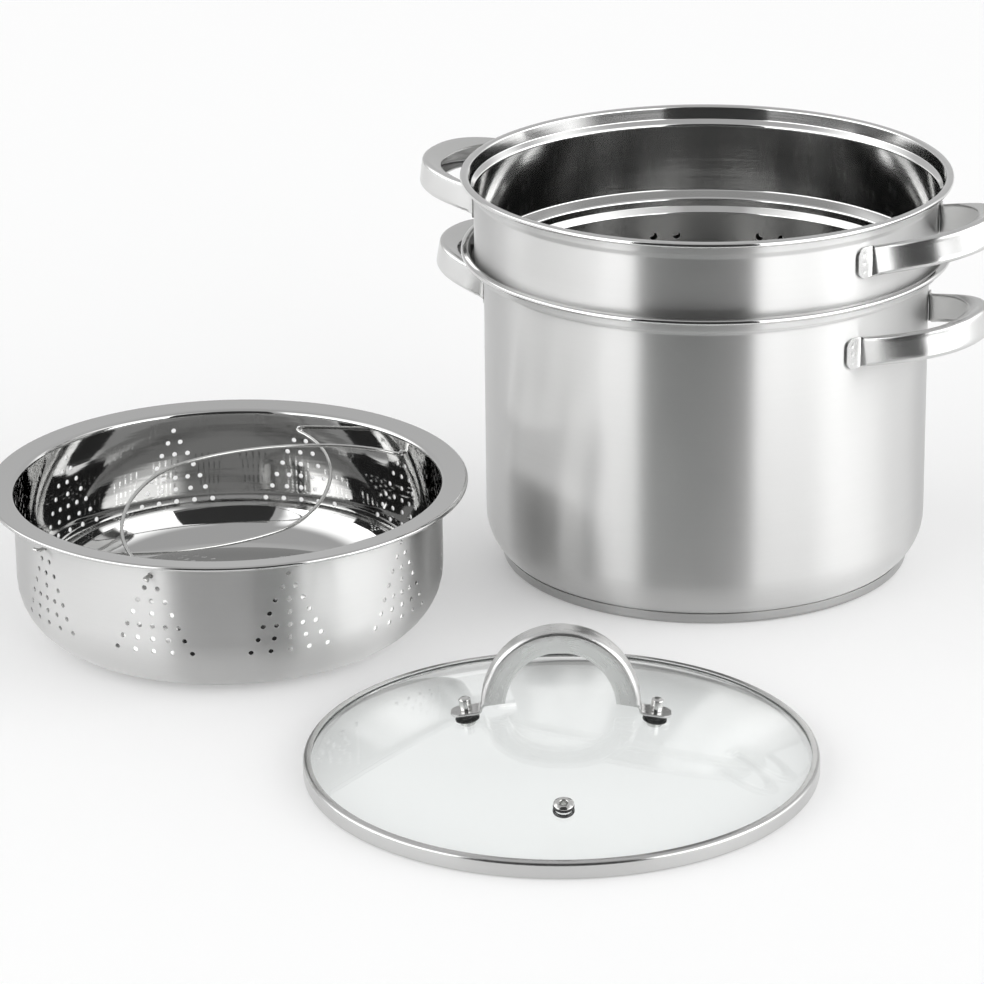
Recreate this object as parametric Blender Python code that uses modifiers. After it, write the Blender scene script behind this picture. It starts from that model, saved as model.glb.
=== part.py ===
"""Pasta pot with strainer insert, steamer basket and glass lid, laid out as a set on a worktop.

The pot stands at the origin with its base on z = 0. The strainer insert hangs in the pot's rim seat,
the steamer basket stands to the pot's left and the glass lid lies in front of it. Metres, +Z up.
"""

import math

import bmesh
import bpy
import numpy as np
from mathutils import Matrix, Vector

MM = 0.001
MERGE = 0.00001

# Facets and clearances shared by every piece.
FACETS = 36
BASKET_FACETS = 40
SMALL_FACETS = 12
HOLE_SIDES = 6
ARC_STEP = math.radians(24)
BEND_STEP = math.radians(100)
SMALL_BEND = 4.0 * MM
GAP = 0.3 * MM

# Pot: a drawn steel body with a stepped rim and a bonded base.
POT_RADIUS = 121.0 * MM
POT_SHEET = 0.8 * MM
POT_HEIGHT = 178.0 * MM
POT_CORNER = 28.0 * MM
BASE_INSET = 9.0 * MM
BASE_GROOVE_HEIGHT = 6.6 * MM
BASE_STACK = 4.8 * MM
BASE_CAP_SHEET = 0.6 * MM
BASE_CAP_CORNER = 2.0 * MM

# Stepped rim, the same on the pot and on the insert, so that the lid and the basket fit both.
LIP_WIDTH = 5.6 * MM
LIP_FALL = 1.2 * MM
LIP_BEND = 0.8 * MM
SEAT_WIDTH = 6.6 * MM
SEAT_FLARE = 0.9 * MM
SEAT_DEPTH = 9.0 * MM
SEAT_FALL = 2.0 * MM
SEAT_BEND = 1.0 * MM

# Strainer insert.
INSERT_RISE = 41.5 * MM
INSERT_SHEET = 0.7 * MM
INSERT_WALL_PLAY = 1.6 * MM
INSERT_SHELF_BEND = 2.0 * MM
INSERT_COLLAR_PLAY = 0.6 * MM
INSERT_COLLAR_HEIGHT = 4.5 * MM
INSERT_SECOND_STEP = 2.4 * MM
INSERT_SECOND_FALL = 3.5 * MM
INSERT_CORNER = 24.0 * MM
INSERT_FLOOR_CLEARANCE = 18.0 * MM
INSERT_HOLE = 4.5 * MM
INSERT_CLUSTERS = 12
INSERT_CLUSTER_TURN = math.radians(8.6)
INSERT_ROWS = (2, 3, 2, 3)
INSERT_HOLE_PITCH = 13.4 * MM
INSERT_ROW_PITCH = 30.0 * MM
INSERT_TOP_ROW = 13.0 * MM
INSERT_FLOOR_RINGS = (1, 6, 6)
INSERT_RING_PITCH = 34.0 * MM

# Strap handles of the pot and the insert, pressed from one sheet with turned-in flanges.
STRAP_SHEET = 1.2 * MM
STRAP_HALF_WIDTH = 42.0 * MM
STRAP_REACH = 49.6 * MM
STRAP_FULLNESS = 2.29
STRAP_HEIGHT = 15.8 * MM
STRAP_FLANGE = 12.5 * MM
STRAP_FLANGE_SLOPE = 0.25
STRAP_STATIONS = 13
STRAP_TAB_LENGTH = 9.8 * MM
STRAP_TAB_HEIGHT = 18.0 * MM
STRAP_TAB_OUTLINE = ((1.0, 0.5), (0.8, 0.86), (0.5, 1.0), (0.15, 1.0))
POT_STRAP_DROP = 31.2 * MM
POT_STRAP_TILT = math.radians(11.0)
POT_STRAP_TURNS = {"right": math.radians(-31.0), "left": math.radians(148.2)}
INSERT_STRAP_DROP = 21.9 * MM
INSERT_STRAP_TILTS = {"right": math.radians(14.0), "left": math.radians(8.0)}
INSERT_STRAP_TURNS = {"right": math.radians(-30.8), "left": math.radians(151.7)}

# Steamer basket: a shallow bowl with a wide flat lip and two wire bails hooked in its wall.
BASKET_PLACE = Vector((-257.5 * MM, -98.2 * MM, 0.0))
BASKET_LIP_WIDTH = 13.8 * MM
BASKET_HEIGHT = 81.0 * MM
BASKET_SHEET = 0.7 * MM
BASKET_CORNER = 33.0 * MM
BASKET_LIP_PLAY = 0.4 * MM
BASKET_LIP_RISE = 1.5 * MM
BASKET_LIP_BEND = 1.6 * MM
BASKET_HEM = 2.0 * MM
BASKET_HOLE = 2.7 * MM
BASKET_CLUSTERS = 10
BASKET_CLUSTER_TURN = math.radians(-107.25)
BASKET_TOP_ROW = 11.4 * MM
BASKET_ROW_PITCH = 6.95 * MM
BASKET_ROWS = (1, 2, 3, 3, 5, 5, 5)
BASKET_SPACINGS = (7.0 * MM, 7.0 * MM, 7.4 * MM, 10.5 * MM, 7.0 * MM, 8.4 * MM, 10.3 * MM)
HOOK_HOLE = 3.4 * MM

# Bails: each wire spans four hole clusters and folds flat into the basket.
BAIL_WIRE = 2.0 * MM
BAIL_CLUSTERS = 4
BAIL_DEPTH = 77.0 * MM
BAIL_FULLNESS = 1.67
BAIL_INSET = 3.5 * MM
BAIL_BEND = 1.2 * MM
BAIL_END_OUT = 5.5 * MM
BAIL_END_TURN = 3.0 * MM
BAIL_STATIONS = 15
BAIL_FOOT = math.radians(3.0)
BAIL_LIFTS = {"upper": math.radians(6.0), "lower": math.radians(-4.8)}

# Glass lid in its steel band.
LID_PLACE = Vector((-85.0 * MM, -291.2 * MM, 0.0))
LID_PLAY = 0.4 * MM
LID_TURN = math.radians(-2.3)
LID_BAND_HEIGHT = 8.5 * MM
LID_BAND_SHEET = 0.7 * MM
LID_BAND_LIP = 4.0 * MM
LID_BAND_BEND = 1.5 * MM
LID_BAND_HEEL = 1.8 * MM
GLASS_THICKNESS = 3.6 * MM
GLASS_FLAT = 3.6 * MM
GLASS_EDGE = 1.2 * MM
GLASS_DOME = 23.5 * MM
GLASS_PAD = 8.0 * MM
GLASS_CROWN = 19.0 * MM

# Lid handle, its two fixings and the steam vent.
ARCH_HALF_WIDTH = 38.9 * MM
ARCH_TOP = 74.2 * MM
ARCH_FULLNESS = 2.05
ARCH_HEIGHT = 13.0 * MM
ARCH_FLANGE = 12.5 * MM
ARCH_FLANGE_END = math.radians(81.5)
ARCH_FLANGE_RUNOUT = math.radians(84.5)
ARCH_STATIONS = 11
ARCH_TAB_LENGTH = 14.8 * MM
ARCH_TAB_OUTLINE = ((1.0, 0.62), (0.85, 0.9), (0.6, 1.0), (0.15, 1.0))
POST_INSET = 7.3 * MM
POST_RADIUS = 2.0 * MM
POST_PLAY = 0.4 * MM
CAP_NUT_RADIUS = 3.0 * MM
CAP_NUT_HEIGHT = 5.8 * MM
CAP_NUT_CROWN = 1.4 * MM
CAP_NUT_CHAMFER = 0.6 * MM
POST_GASKET_RADIUS = 6.2 * MM
POST_GASKET_THICKNESS = 1.8 * MM
LOWER_GASKET_THICKNESS = 1.5 * MM
WASHER_RADIUS = 5.4 * MM
WASHER_THICKNESS = 1.0 * MM
SCREW_HEAD_RADIUS = 4.2 * MM
SCREW_HEAD_HEIGHT = 2.0 * MM
SCREW_HEAD_EDGE = 0.6 * MM
VENT_INSET = 38.6 * MM
VENT_TURN = math.radians(-90.3)
VENT_BORE_RADIUS = 2.1 * MM
VENT_TUBE_SHEET = 0.8 * MM
VENT_FLANGE_RADIUS = 4.7 * MM
VENT_CROWN = 0.7 * MM
VENT_FLARE_RADIUS = 4.2 * MM
GROMMET_RADIUS = 5.2 * MM
GROMMET_FLANGE = 1.2 * MM
GROMMET_SLEEVE = 0.9 * MM

# Sizes that follow from the ones above.
BASE_RADIUS = POT_RADIUS - BASE_INSET
BASE_INNER_RADIUS = BASE_RADIUS - BASE_CAP_SHEET
SEAT_RADIUS = POT_RADIUS + SEAT_WIDTH
SEAT_TOP_RADIUS = SEAT_RADIUS + SEAT_FLARE
LIP_RADIUS = SEAT_RADIUS + LIP_WIDTH
LID_RADIUS = SEAT_RADIUS - LID_PLAY
INSERT_TOP = POT_HEIGHT + INSERT_RISE
INSERT_WALL_RADIUS = SEAT_RADIUS - INSERT_WALL_PLAY
INSERT_COLLAR_RADIUS = POT_RADIUS - POT_SHEET - INSERT_COLLAR_PLAY
INSERT_RADIUS = INSERT_COLLAR_RADIUS - INSERT_SECOND_STEP
INSERT_BOTTOM = BASE_STACK + POT_SHEET + INSERT_FLOOR_CLEARANCE
BASKET_LIP_RADIUS = SEAT_RADIUS - BASKET_LIP_PLAY
BASKET_RADIUS = BASKET_LIP_RADIUS - BASKET_LIP_WIDTH
HOOK_HEIGHT = BASKET_HEIGHT - BASKET_TOP_ROW
GLASS_RADIUS = LID_RADIUS - LID_BAND_SHEET - GAP
GLASS_DOME_RADIUS = GLASS_RADIUS - GLASS_FLAT
GLASS_EDGE_TOP = LID_BAND_HEIGHT - LID_BAND_SHEET - GAP
POST_DISTANCE = ARCH_HALF_WIDTH + POST_INSET
VENT_DISTANCE = GLASS_RADIUS - VENT_INSET

for old in list(bpy.data.objects):
    bpy.data.objects.remove(old, do_unlink=True)
PARTS = bpy.data.collections.new("pasta_pot_with_strainer_insert")
CUTTERS = bpy.data.collections.new("cutters")
bpy.context.scene.collection.children.link(PARTS)
bpy.context.scene.collection.children.link(CUTTERS)
CUTTERS.hide_render = True


def finish(name, colour, roughness, metallic):
    """A Principled material with one colour, roughness and metallic value."""
    material = bpy.data.materials.new(name)
    material.use_nodes = True
    shader = material.node_tree.nodes["Principled BSDF"]
    shader.inputs["Base Color"].default_value = (*colour, 1.0)
    shader.inputs["Roughness"].default_value = roughness
    shader.inputs["Metallic"].default_value = metallic
    material.diffuse_color = (*colour, 1.0)
    return material


SATIN_STEEL = finish("satin_steel", (0.72, 0.72, 0.71), 0.32, 1.0)
MIRROR_STEEL = finish("mirror_steel", (0.78, 0.78, 0.78), 0.08, 1.0)
HANDLE_STEEL = finish("handle_steel", (0.70, 0.70, 0.69), 0.25, 1.0)
ALUMINIUM = finish("aluminium_core", (0.60, 0.61, 0.62), 0.50, 1.0)
GLASS = finish("tempered_glass", (0.86, 0.90, 0.88), 0.03, 0.0)
SILICONE = finish("black_silicone", (0.03, 0.03, 0.03), 0.60, 0.0)


def add_object(name, data, material, collection=PARTS):
    """Links an object made from mesh or curve data and gives it its material."""
    thing = bpy.data.objects.new(name, data)
    collection.objects.link(thing)
    if material:
        data.materials.append(material)
    return thing


def rounded(corners):
    """Points of a polyline of (radius, height, fillet) corners, each bend drawn as an arc."""
    path = [Vector(corners[0][:2])]
    for before, corner, after in zip(corners, corners[1:], corners[2:]):
        here = Vector(corner[:2])
        back = Vector(before[:2]) - here
        ahead = Vector(after[:2]) - here
        turn = math.pi - back.angle(ahead)
        room = 0.48 * min(back.length, ahead.length)
        if corner[2] <= 0 or turn < ARC_STEP / 4:
            path.append(here)
            continue
        reach = min(corner[2] * math.tan(turn / 2), room)
        fillet = reach / math.tan(turn / 2)
        middle = here + (back.normalized() + ahead.normalized()).normalized() * fillet / math.cos(turn / 2)
        start = here + back.normalized() * reach - middle
        side = 1 if back.x * ahead.y - back.y * ahead.x < 0 else -1
        steps = math.ceil(turn / (BEND_STEP if corner[2] < SMALL_BEND else ARC_STEP))
        for step in range(steps + 1):
            swing = Matrix.Rotation(side * turn * step / steps, 2)
            path.append(middle + swing @ start)
    path.append(Vector(corners[-1][:2]))
    return path


def turned(name, path, material, sheet=0.0, facets=FACETS, ring=False):
    """Turns a profile about Z. A sheet thickness makes the outer side into a shell."""
    count = len(path)
    mesh = bpy.data.meshes.new(name)
    edges = [(index, (index + 1) % count) for index in range(count if ring else count - 1)]
    mesh.from_pydata([(point[0], 0.0, point[1]) for point in path], edges, [])
    thing = add_object(name, mesh, material)
    screw = thing.modifiers.new("Turn", "SCREW")
    screw.axis = "Z"
    screw.angle = 2 * math.pi
    screw.steps = facets
    screw.render_steps = facets
    screw.use_merge_vertices = True
    screw.merge_threshold = MERGE
    screw.use_smooth_shade = True
    if sheet:
        wall = thing.modifiers.new("Sheet", "SOLIDIFY")
        wall.thickness = sheet
        wall.offset = -1
        wall.use_even_offset = True
    return thing


def cut(thing, cutter, name):
    """Cuts one cutter mesh from a piece."""
    modifier = thing.modifiers.new(name, "BOOLEAN")
    modifier.operation = "DIFFERENCE"
    modifier.solver = "EXACT"
    modifier.object = cutter


def hole_cutter(name, placements):
    """One mesh of prisms, each given as (matrix, radius, length, sides) with its axis on local Z."""
    shape = bmesh.new()
    for matrix, radius, length, sides in placements:
        bmesh.ops.create_cone(
            shape,
            cap_ends=True,
            segments=sides,
            radius1=radius,
            radius2=radius,
            depth=length,
            matrix=matrix,
        )
    mesh = bpy.data.meshes.new(name)
    shape.to_mesh(mesh)
    shape.free()
    cutter = add_object(name, mesh, None, CUTTERS)
    cutter.hide_render = True
    cutter.display_type = "WIRE"
    return cutter


def frame_matrix(origin, along_x, along_z):
    """A placing matrix from an origin, a local X direction and a local Z direction."""
    up = along_z.normalized()
    side = up.cross(along_x).normalized()
    turned_x = side.cross(up)
    matrix = Matrix((turned_x, side, up)).transposed().to_4x4()
    matrix.translation = origin
    return matrix


def wall_hole(turn, radius, height):
    """The placing of a hole drilled along the radius of a round wall."""
    outward = Vector((math.cos(turn), math.sin(turn), 0.0))
    return frame_matrix(outward * radius + Vector((0, 0, height)), Vector((0, 0, 1)), outward)


def strap(name, stations, material):
    """Lofts a pressed strap through (point, up, height, flange depth) stations along its web.

    The section is a channel: the web, and a flange turned in from each edge. Where the flange depth
    is one sheet thickness, the section is a flat plate.
    """
    points = [Vector(station[0]) for station in stations]
    sheet = STRAP_SHEET
    half = sheet / 2
    shape = bmesh.new()
    rings = []
    for index, (point, up, height, depth) in enumerate(stations):
        normals = []
        for first, last in ((index - 1, index), (index, index + 1)):
            if first >= 0 and last < len(points):
                normals.append((points[last] - points[first]).cross(up).normalized())
        outward = sum(normals, Vector()).normalized()
        stretch = 1 / outward.dot(normals[0])
        rise = STRAP_FLANGE_SLOPE * (depth - sheet)
        edge = height / 2
        section = (
            (half, edge),
            (half, -edge),
            (half - depth, -edge + rise),
            (half - depth, -edge + rise + sheet),
            (-half, -edge + 2 * sheet),
            (-half, edge - 2 * sheet),
            (half - depth, edge - rise - sheet),
            (half - depth, edge - rise),
        )
        ring = [shape.verts.new(Vector(point) + outward * stretch * out + up * rise_) for out, rise_ in section]
        rings.append(ring)
    count = len(rings[0])
    for ring, following in zip(rings, rings[1:]):
        for corner in range(count):
            other = (corner + 1) % count
            shape.faces.new((ring[corner], ring[other], following[other], following[corner]))
    for ring in (rings[0], rings[-1]):
        shape.faces.new((ring[0], ring[1], ring[4], ring[5]))
        shape.faces.new((ring[1], ring[2], ring[3], ring[4]))
        shape.faces.new((ring[5], ring[6], ring[7], ring[0]))
    bmesh.ops.recalc_face_normals(shape, faces=shape.faces)
    mesh = bpy.data.meshes.new(name)
    shape.to_mesh(mesh)
    shape.free()
    mesh.shade_smooth()
    mesh.set_sharp_from_angle(angle=math.radians(35))
    return add_object(name, mesh, material)


def bow(half_width, reach, fullness, turns):
    """Across and outward distances at each turn of a superellipse bow, whose feet are at a quarter turn."""
    for turn in turns:
        across = math.copysign(abs(math.sin(turn)) ** (2 / fullness), turn) * half_width
        outward = max(0.0, math.cos(turn)) ** (2 / fullness) * reach
        yield across, outward


def stepped_rim(top, sheet):
    """Corners of the stepped rim on the underside of the sheet, from the lip's edge to the seat."""
    seat = top - SEAT_DEPTH
    return seat, (
        (LIP_RADIUS, top - LIP_FALL - sheet, 0),
        (SEAT_TOP_RADIUS + sheet, top - sheet, LIP_BEND),
        (SEAT_RADIUS + sheet, seat - sheet, SEAT_BEND),
    )


def pot_corner_arcs():
    """The pot's lower corner: a wide arc down to the base groove, then a tighter one to the flat."""
    middle = POT_RADIUS - POT_CORNER
    slant = math.acos((BASE_RADIUS - middle) / POT_CORNER)
    height = BASE_GROOVE_HEIGHT + POT_CORNER * math.sin(slant)
    inner = (BASE_GROOVE_HEIGHT - BASE_STACK) / (1 - math.sin(slant))
    inner_middle = middle + (POT_CORNER - inner) * math.cos(slant)
    inner_height = height - (POT_CORNER - inner) * math.sin(slant)
    wide = (middle, height, POT_CORNER, 0.0, slant)
    tight = (inner_middle, inner_height, inner, slant, math.pi / 2)
    return wide, tight


def arc_points(arc, steps, first=0):
    """Points of an arc given as (radius, height, arc radius, start angle, end angle)."""
    radius, height, size, start, end = arc
    for step in range(first, steps + 1):
        angle = start + (end - start) * step / steps
        yield Vector((radius + size * math.cos(angle), height - size * math.sin(angle)))


def underside(radius):
    """Height of the pot body's underside at a radius inside the base groove."""
    middle, height, size = pot_corner_arcs()[1][:3]
    return height - math.sqrt(max(0.0, size**2 - max(0.0, radius - middle) ** 2))


def make_pot():
    """The pot body and its three-layer base: body, aluminium core and steel cap."""
    seat, rim = stepped_rim(POT_HEIGHT, POT_SHEET)
    wide, tight = pot_corner_arcs()
    path = rounded([*rim, (POT_RADIUS, seat - SEAT_FALL - POT_SHEET, SEAT_BEND), (*next(arc_points(wide, 1)), 0)])
    path += list(arc_points(wide, 3, 1))
    path += list(arc_points(tight, 2, 1))
    path.append(Vector((0.0, BASE_STACK)))
    turned("pot_body", path, SATIN_STEEL, POT_SHEET)
    core_low = BASE_CAP_SHEET + GAP
    core_radius = BASE_INNER_RADIUS - GAP
    core_top = BASE_STACK - GAP
    corner = (core_radius, core_low, BASE_CAP_CORNER)
    core = rounded([(0, core_top, 0), (core_radius, core_top, 0), corner, (0, core_low, 0)])
    turned("base_core", core, ALUMINIUM)
    cap_top = underside(BASE_INNER_RADIUS) - GAP
    cap = rounded([(BASE_RADIUS, cap_top, 0), (BASE_RADIUS, 0, BASE_CAP_CORNER), (0, 0, 0)])
    turned("base_cap", cap, SATIN_STEEL, BASE_CAP_SHEET)


def make_insert():
    """The strainer insert: it hangs by its first shelf on the pot's seat, and its lower wall is drilled."""
    seat, rim = stepped_rim(INSERT_TOP, INSERT_SHEET)
    pot_seat = POT_HEIGHT - SEAT_DEPTH
    pot_inner = POT_RADIUS - POT_SHEET
    slope = SEAT_FALL / (SEAT_RADIUS - pot_inner)
    lift = GAP * math.hypot(1, slope)

    def shelf(radius):
        return pot_seat - (SEAT_RADIUS - radius) * slope + lift

    collar_bottom = shelf(INSERT_COLLAR_RADIUS) - INSERT_COLLAR_HEIGHT
    wall_top = collar_bottom - INSERT_SECOND_FALL
    path = rounded(
        [
            *rim,
            (INSERT_WALL_RADIUS, seat - INSERT_SHEET - (SEAT_RADIUS - INSERT_WALL_RADIUS) * slope, SEAT_BEND),
            (INSERT_WALL_RADIUS, shelf(INSERT_WALL_RADIUS), INSERT_SHELF_BEND),
            (INSERT_COLLAR_RADIUS, shelf(INSERT_COLLAR_RADIUS), SEAT_BEND),
            (INSERT_COLLAR_RADIUS, collar_bottom, 0),
            (INSERT_RADIUS, wall_top, 0),
            (INSERT_RADIUS, INSERT_BOTTOM, INSERT_CORNER),
            (0, INSERT_BOTTOM, 0),
        ]
    )
    body = turned("insert_body", path, SATIN_STEEL, INSERT_SHEET)
    middle = INSERT_RADIUS - INSERT_SHEET / 2
    length = 8 * INSERT_SHEET
    holes = []
    for cluster in range(INSERT_CLUSTERS):
        centre = INSERT_CLUSTER_TURN + 2 * math.pi * cluster / INSERT_CLUSTERS
        for row, count in enumerate(INSERT_ROWS):
            height = wall_top - INSERT_TOP_ROW - row * INSERT_ROW_PITCH
            for place in range(count):
                turn = centre + (place - (count - 1) / 2) * INSERT_HOLE_PITCH / middle
                holes.append((wall_hole(turn, middle, height), INSERT_HOLE / 2, length, HOLE_SIDES))
    for ring, count in enumerate(INSERT_FLOOR_RINGS):
        for place in range(count):
            turn = 2 * math.pi * (place + ring / 2) / count
            centre = Vector((math.cos(turn), math.sin(turn), 0.0)) * ring * INSERT_RING_PITCH
            centre.z = INSERT_BOTTOM + INSERT_SHEET / 2
            holes.append((Matrix.Translation(centre), INSERT_HOLE / 2, length, HOLE_SIDES))
    cut(body, hole_cutter("insert_hole_cutter", holes), "Drain holes")


def make_strap_handle(name, turn, tilt, wall_radius, height):
    """One side handle, spot-welded by its two tabs to a round wall."""
    radial = Vector((math.cos(turn), math.sin(turn), 0.0))
    across = Vector((-math.sin(turn), math.cos(turn), 0.0))
    vertical = Vector((0.0, 0.0, 1.0))
    outward = radial * math.cos(tilt) + vertical * math.sin(tilt)
    tilted_up = vertical * math.cos(tilt) - radial * math.sin(tilt)
    web_radius = wall_radius + GAP + STRAP_SHEET / 2
    foot_angle = math.asin(STRAP_HALF_WIDTH / web_radius)
    chord = web_radius * math.cos(foot_angle)
    base = vertical * height

    def tab(end):
        for along, size in STRAP_TAB_OUTLINE:
            angle = end * (foot_angle + along * STRAP_TAB_LENGTH / web_radius)
            place = base + (radial * math.cos(angle) + across * math.sin(angle)) * web_radius
            yield place, vertical, size * STRAP_TAB_HEIGHT, STRAP_SHEET

    stations = list(tab(-1))
    turns = np.linspace(-math.pi / 2, math.pi / 2, STRAP_STATIONS)
    path = list(bow(STRAP_HALF_WIDTH, STRAP_REACH, STRAP_FULLNESS, turns))
    for index, (aside, reach) in enumerate(path):
        place = base + radial * chord + across * aside + outward * reach
        foot = index in (0, len(path) - 1)
        depth = STRAP_SHEET
        if not foot:
            depth += (STRAP_FLANGE - STRAP_SHEET) * math.cos(turns[index])
        stations.append((place, vertical if foot else tilted_up, STRAP_HEIGHT, depth))
    stations += reversed(list(tab(1)))
    strap(name, stations, HANDLE_STEEL)


def make_basket():
    """The steamer basket, drilled with triangular clusters; four top holes take the bail hooks."""
    plate = BASKET_HEIGHT - BASKET_SHEET
    hem = BASKET_LIP_RADIUS - BASKET_SHEET
    path = rounded(
        [
            (hem, BASKET_HEIGHT - BASKET_HEM, 0),
            (hem, plate, 0),
            (BASKET_RADIUS, plate - BASKET_LIP_RISE, BASKET_LIP_BEND),
            (BASKET_RADIUS, 0, BASKET_CORNER),
            (0, 0, 0),
        ]
    )
    body = turned("basket_body", path, MIRROR_STEEL, BASKET_SHEET, BASKET_FACETS)
    body.location = BASKET_PLACE
    middle = BASKET_RADIUS - BASKET_SHEET / 2
    length = 8 * BASKET_SHEET
    pitch = 2 * math.pi / BASKET_CLUSTERS
    hooks = {0, BAIL_CLUSTERS, BASKET_CLUSTERS - 1, BAIL_CLUSTERS + 1}
    holes = []
    for cluster in range(BASKET_CLUSTERS):
        for row, (count, spacing) in enumerate(zip(BASKET_ROWS, BASKET_SPACINGS)):
            hooked = row == 0 and cluster in hooks
            size = HOOK_HOLE if hooked else BASKET_HOLE
            for place in range(count):
                turn = BASKET_CLUSTER_TURN + cluster * pitch + (place - (count - 1) / 2) * spacing / middle
                matrix = wall_hole(turn, middle, HOOK_HEIGHT - row * BASKET_ROW_PITCH)
                holes.append((Matrix.Translation(BASKET_PLACE) @ matrix, size / 2, length, HOLE_SIDES))
    cut(body, hole_cutter("basket_hole_cutter", holes), "Steam holes")


def make_bail(name, first_cluster, lift):
    """A wire bail hinged on the line through two hook holes, folded flat inside the basket."""
    middle = BASKET_RADIUS - BASKET_SHEET / 2
    pitch = 2 * math.pi / BASKET_CLUSTERS
    half_angle = BAIL_CLUSTERS * pitch / 2
    facing = BASKET_CLUSTER_TURN + first_cluster * pitch + half_angle
    toward_wall = Vector((math.cos(facing), math.sin(facing), 0.0))
    along = Vector((-math.sin(facing), math.cos(facing), 0.0))
    hinge = BASKET_PLACE + toward_wall * middle * math.cos(half_angle) + Vector((0, 0, HOOK_HEIGHT))
    hole = middle * math.sin(half_angle)
    reach = hole - BAIL_INSET
    far = hole + BAIL_END_OUT
    end = [(far, -BAIL_END_TURN), (far, 0.0), (reach + BAIL_BEND, 0.0), (reach + BAIL_BEND / 4, BAIL_BEND / 4)]
    turns = np.linspace(math.pi / 2 - BAIL_FOOT, BAIL_FOOT - math.pi / 2, BAIL_STATIONS)
    arch = list(bow(reach, BAIL_DEPTH, BAIL_FULLNESS, turns))
    path = end + arch + [(-across, forward) for across, forward in reversed(end)]
    curve = bpy.data.curves.new(name, "CURVE")
    curve.dimensions = "3D"
    curve.bevel_depth = BAIL_WIRE / 2
    curve.bevel_resolution = 2
    curve.use_fill_caps = True
    spline = curve.splines.new("POLY")
    spline.points.add(len(path) - 1)
    for point, (across, forward) in zip(spline.points, path):
        point.co = (across, forward, 0.0, 1.0)
    bail = add_object(name, curve, MIRROR_STEEL)
    bail.matrix_world = frame_matrix(hinge, along, Vector((0, 0, 1))) @ Matrix.Rotation(lift, 4, "X")


def glass_stations():
    """Distances of the dome's rings. Each fixing sits on one straight stretch between two rings."""
    pads = [place + side * GLASS_PAD for place in (POST_DISTANCE, VENT_DISTANCE) for side in (-1, 1)]
    return np.array([0.0, GLASS_CROWN, *pads, GLASS_DOME_RADIUS])


def glass_top(distance):
    """Height of the glass's upper face at a distance from the lid's axis."""
    stations = glass_stations()
    heights = GLASS_EDGE_TOP + GLASS_DOME * (1 - (stations / GLASS_DOME_RADIUS) ** 2)
    return float(np.interp(distance, stations, heights))


def glass_fall(distance):
    """Slope of the glass's upper face at a distance from the lid's axis."""
    step = GLASS_PAD / 10
    return (glass_top(distance - step) - glass_top(distance + step)) / (2 * step)


def glass_frame(distance, turn):
    """A frame on the glass's upper face: Z stands out of the glass and X points away from the axis."""
    radial = Vector((math.cos(turn), math.sin(turn), 0.0))
    fall = glass_fall(distance)
    normal = Vector((radial.x * fall, radial.y * fall, 1.0)).normalized()
    origin = LID_PLACE + radial * distance + Vector((0, 0, glass_top(distance)))
    return frame_matrix(origin, radial, normal)


def through_glass(distance):
    """Depth of the glass along its own normal at a distance from the lid's axis."""
    return GLASS_THICKNESS / math.hypot(1, glass_fall(distance))


def ring_profile(inner, outer, low, high):
    """Closed section of a flat ring."""
    return [(inner, high), (outer, high), (outer, low), (inner, low)]


def make_lid():
    """The domed glass and the steel band folded round its edge."""
    upper = [(distance, glass_top(distance)) for distance in glass_stations()]
    lower = [(distance, height - GLASS_THICKNESS) for distance, height in reversed(upper)]
    edge = [
        (GLASS_RADIUS - GLASS_EDGE, GLASS_EDGE_TOP),
        (GLASS_RADIUS, GLASS_EDGE_TOP - GLASS_EDGE),
        (GLASS_RADIUS, GLASS_EDGE_TOP - GLASS_THICKNESS),
    ]
    glass = turned("lid_glass", upper + edge + lower, GLASS)
    glass.location = LID_PLACE
    tip = GLASS_EDGE_TOP - GLASS_THICKNESS - GAP - LID_BAND_SHEET
    toe = LID_RADIUS - LID_BAND_LIP
    band = rounded(
        [
            (toe, LID_BAND_HEIGHT, 0),
            (LID_RADIUS, LID_BAND_HEIGHT, LID_BAND_BEND),
            (LID_RADIUS, 0, LID_BAND_BEND),
            (LID_RADIUS - LID_BAND_HEEL - LID_BAND_SHEET, 0, 0),
            (toe, tip, 0),
        ]
    )
    rim = turned("lid_band", band, MIRROR_STEEL, LID_BAND_SHEET)
    rim.location = LID_PLACE
    bores = []
    bore = POST_RADIUS + 2 * POST_PLAY
    for side in (0, 1):
        place = glass_frame(POST_DISTANCE, LID_TURN + side * math.pi)
        bores.append((place, bore, 8 * GLASS_THICKNESS, SMALL_FACETS))
    vent_bore = VENT_BORE_RADIUS + VENT_TUBE_SHEET + GAP + GROMMET_SLEEVE + GAP
    bores.append((glass_frame(VENT_DISTANCE, VENT_TURN), vent_bore, 8 * GLASS_THICKNESS, SMALL_FACETS))
    cut(glass, hole_cutter("glass_bore_cutter", bores), "Bores")


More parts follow.
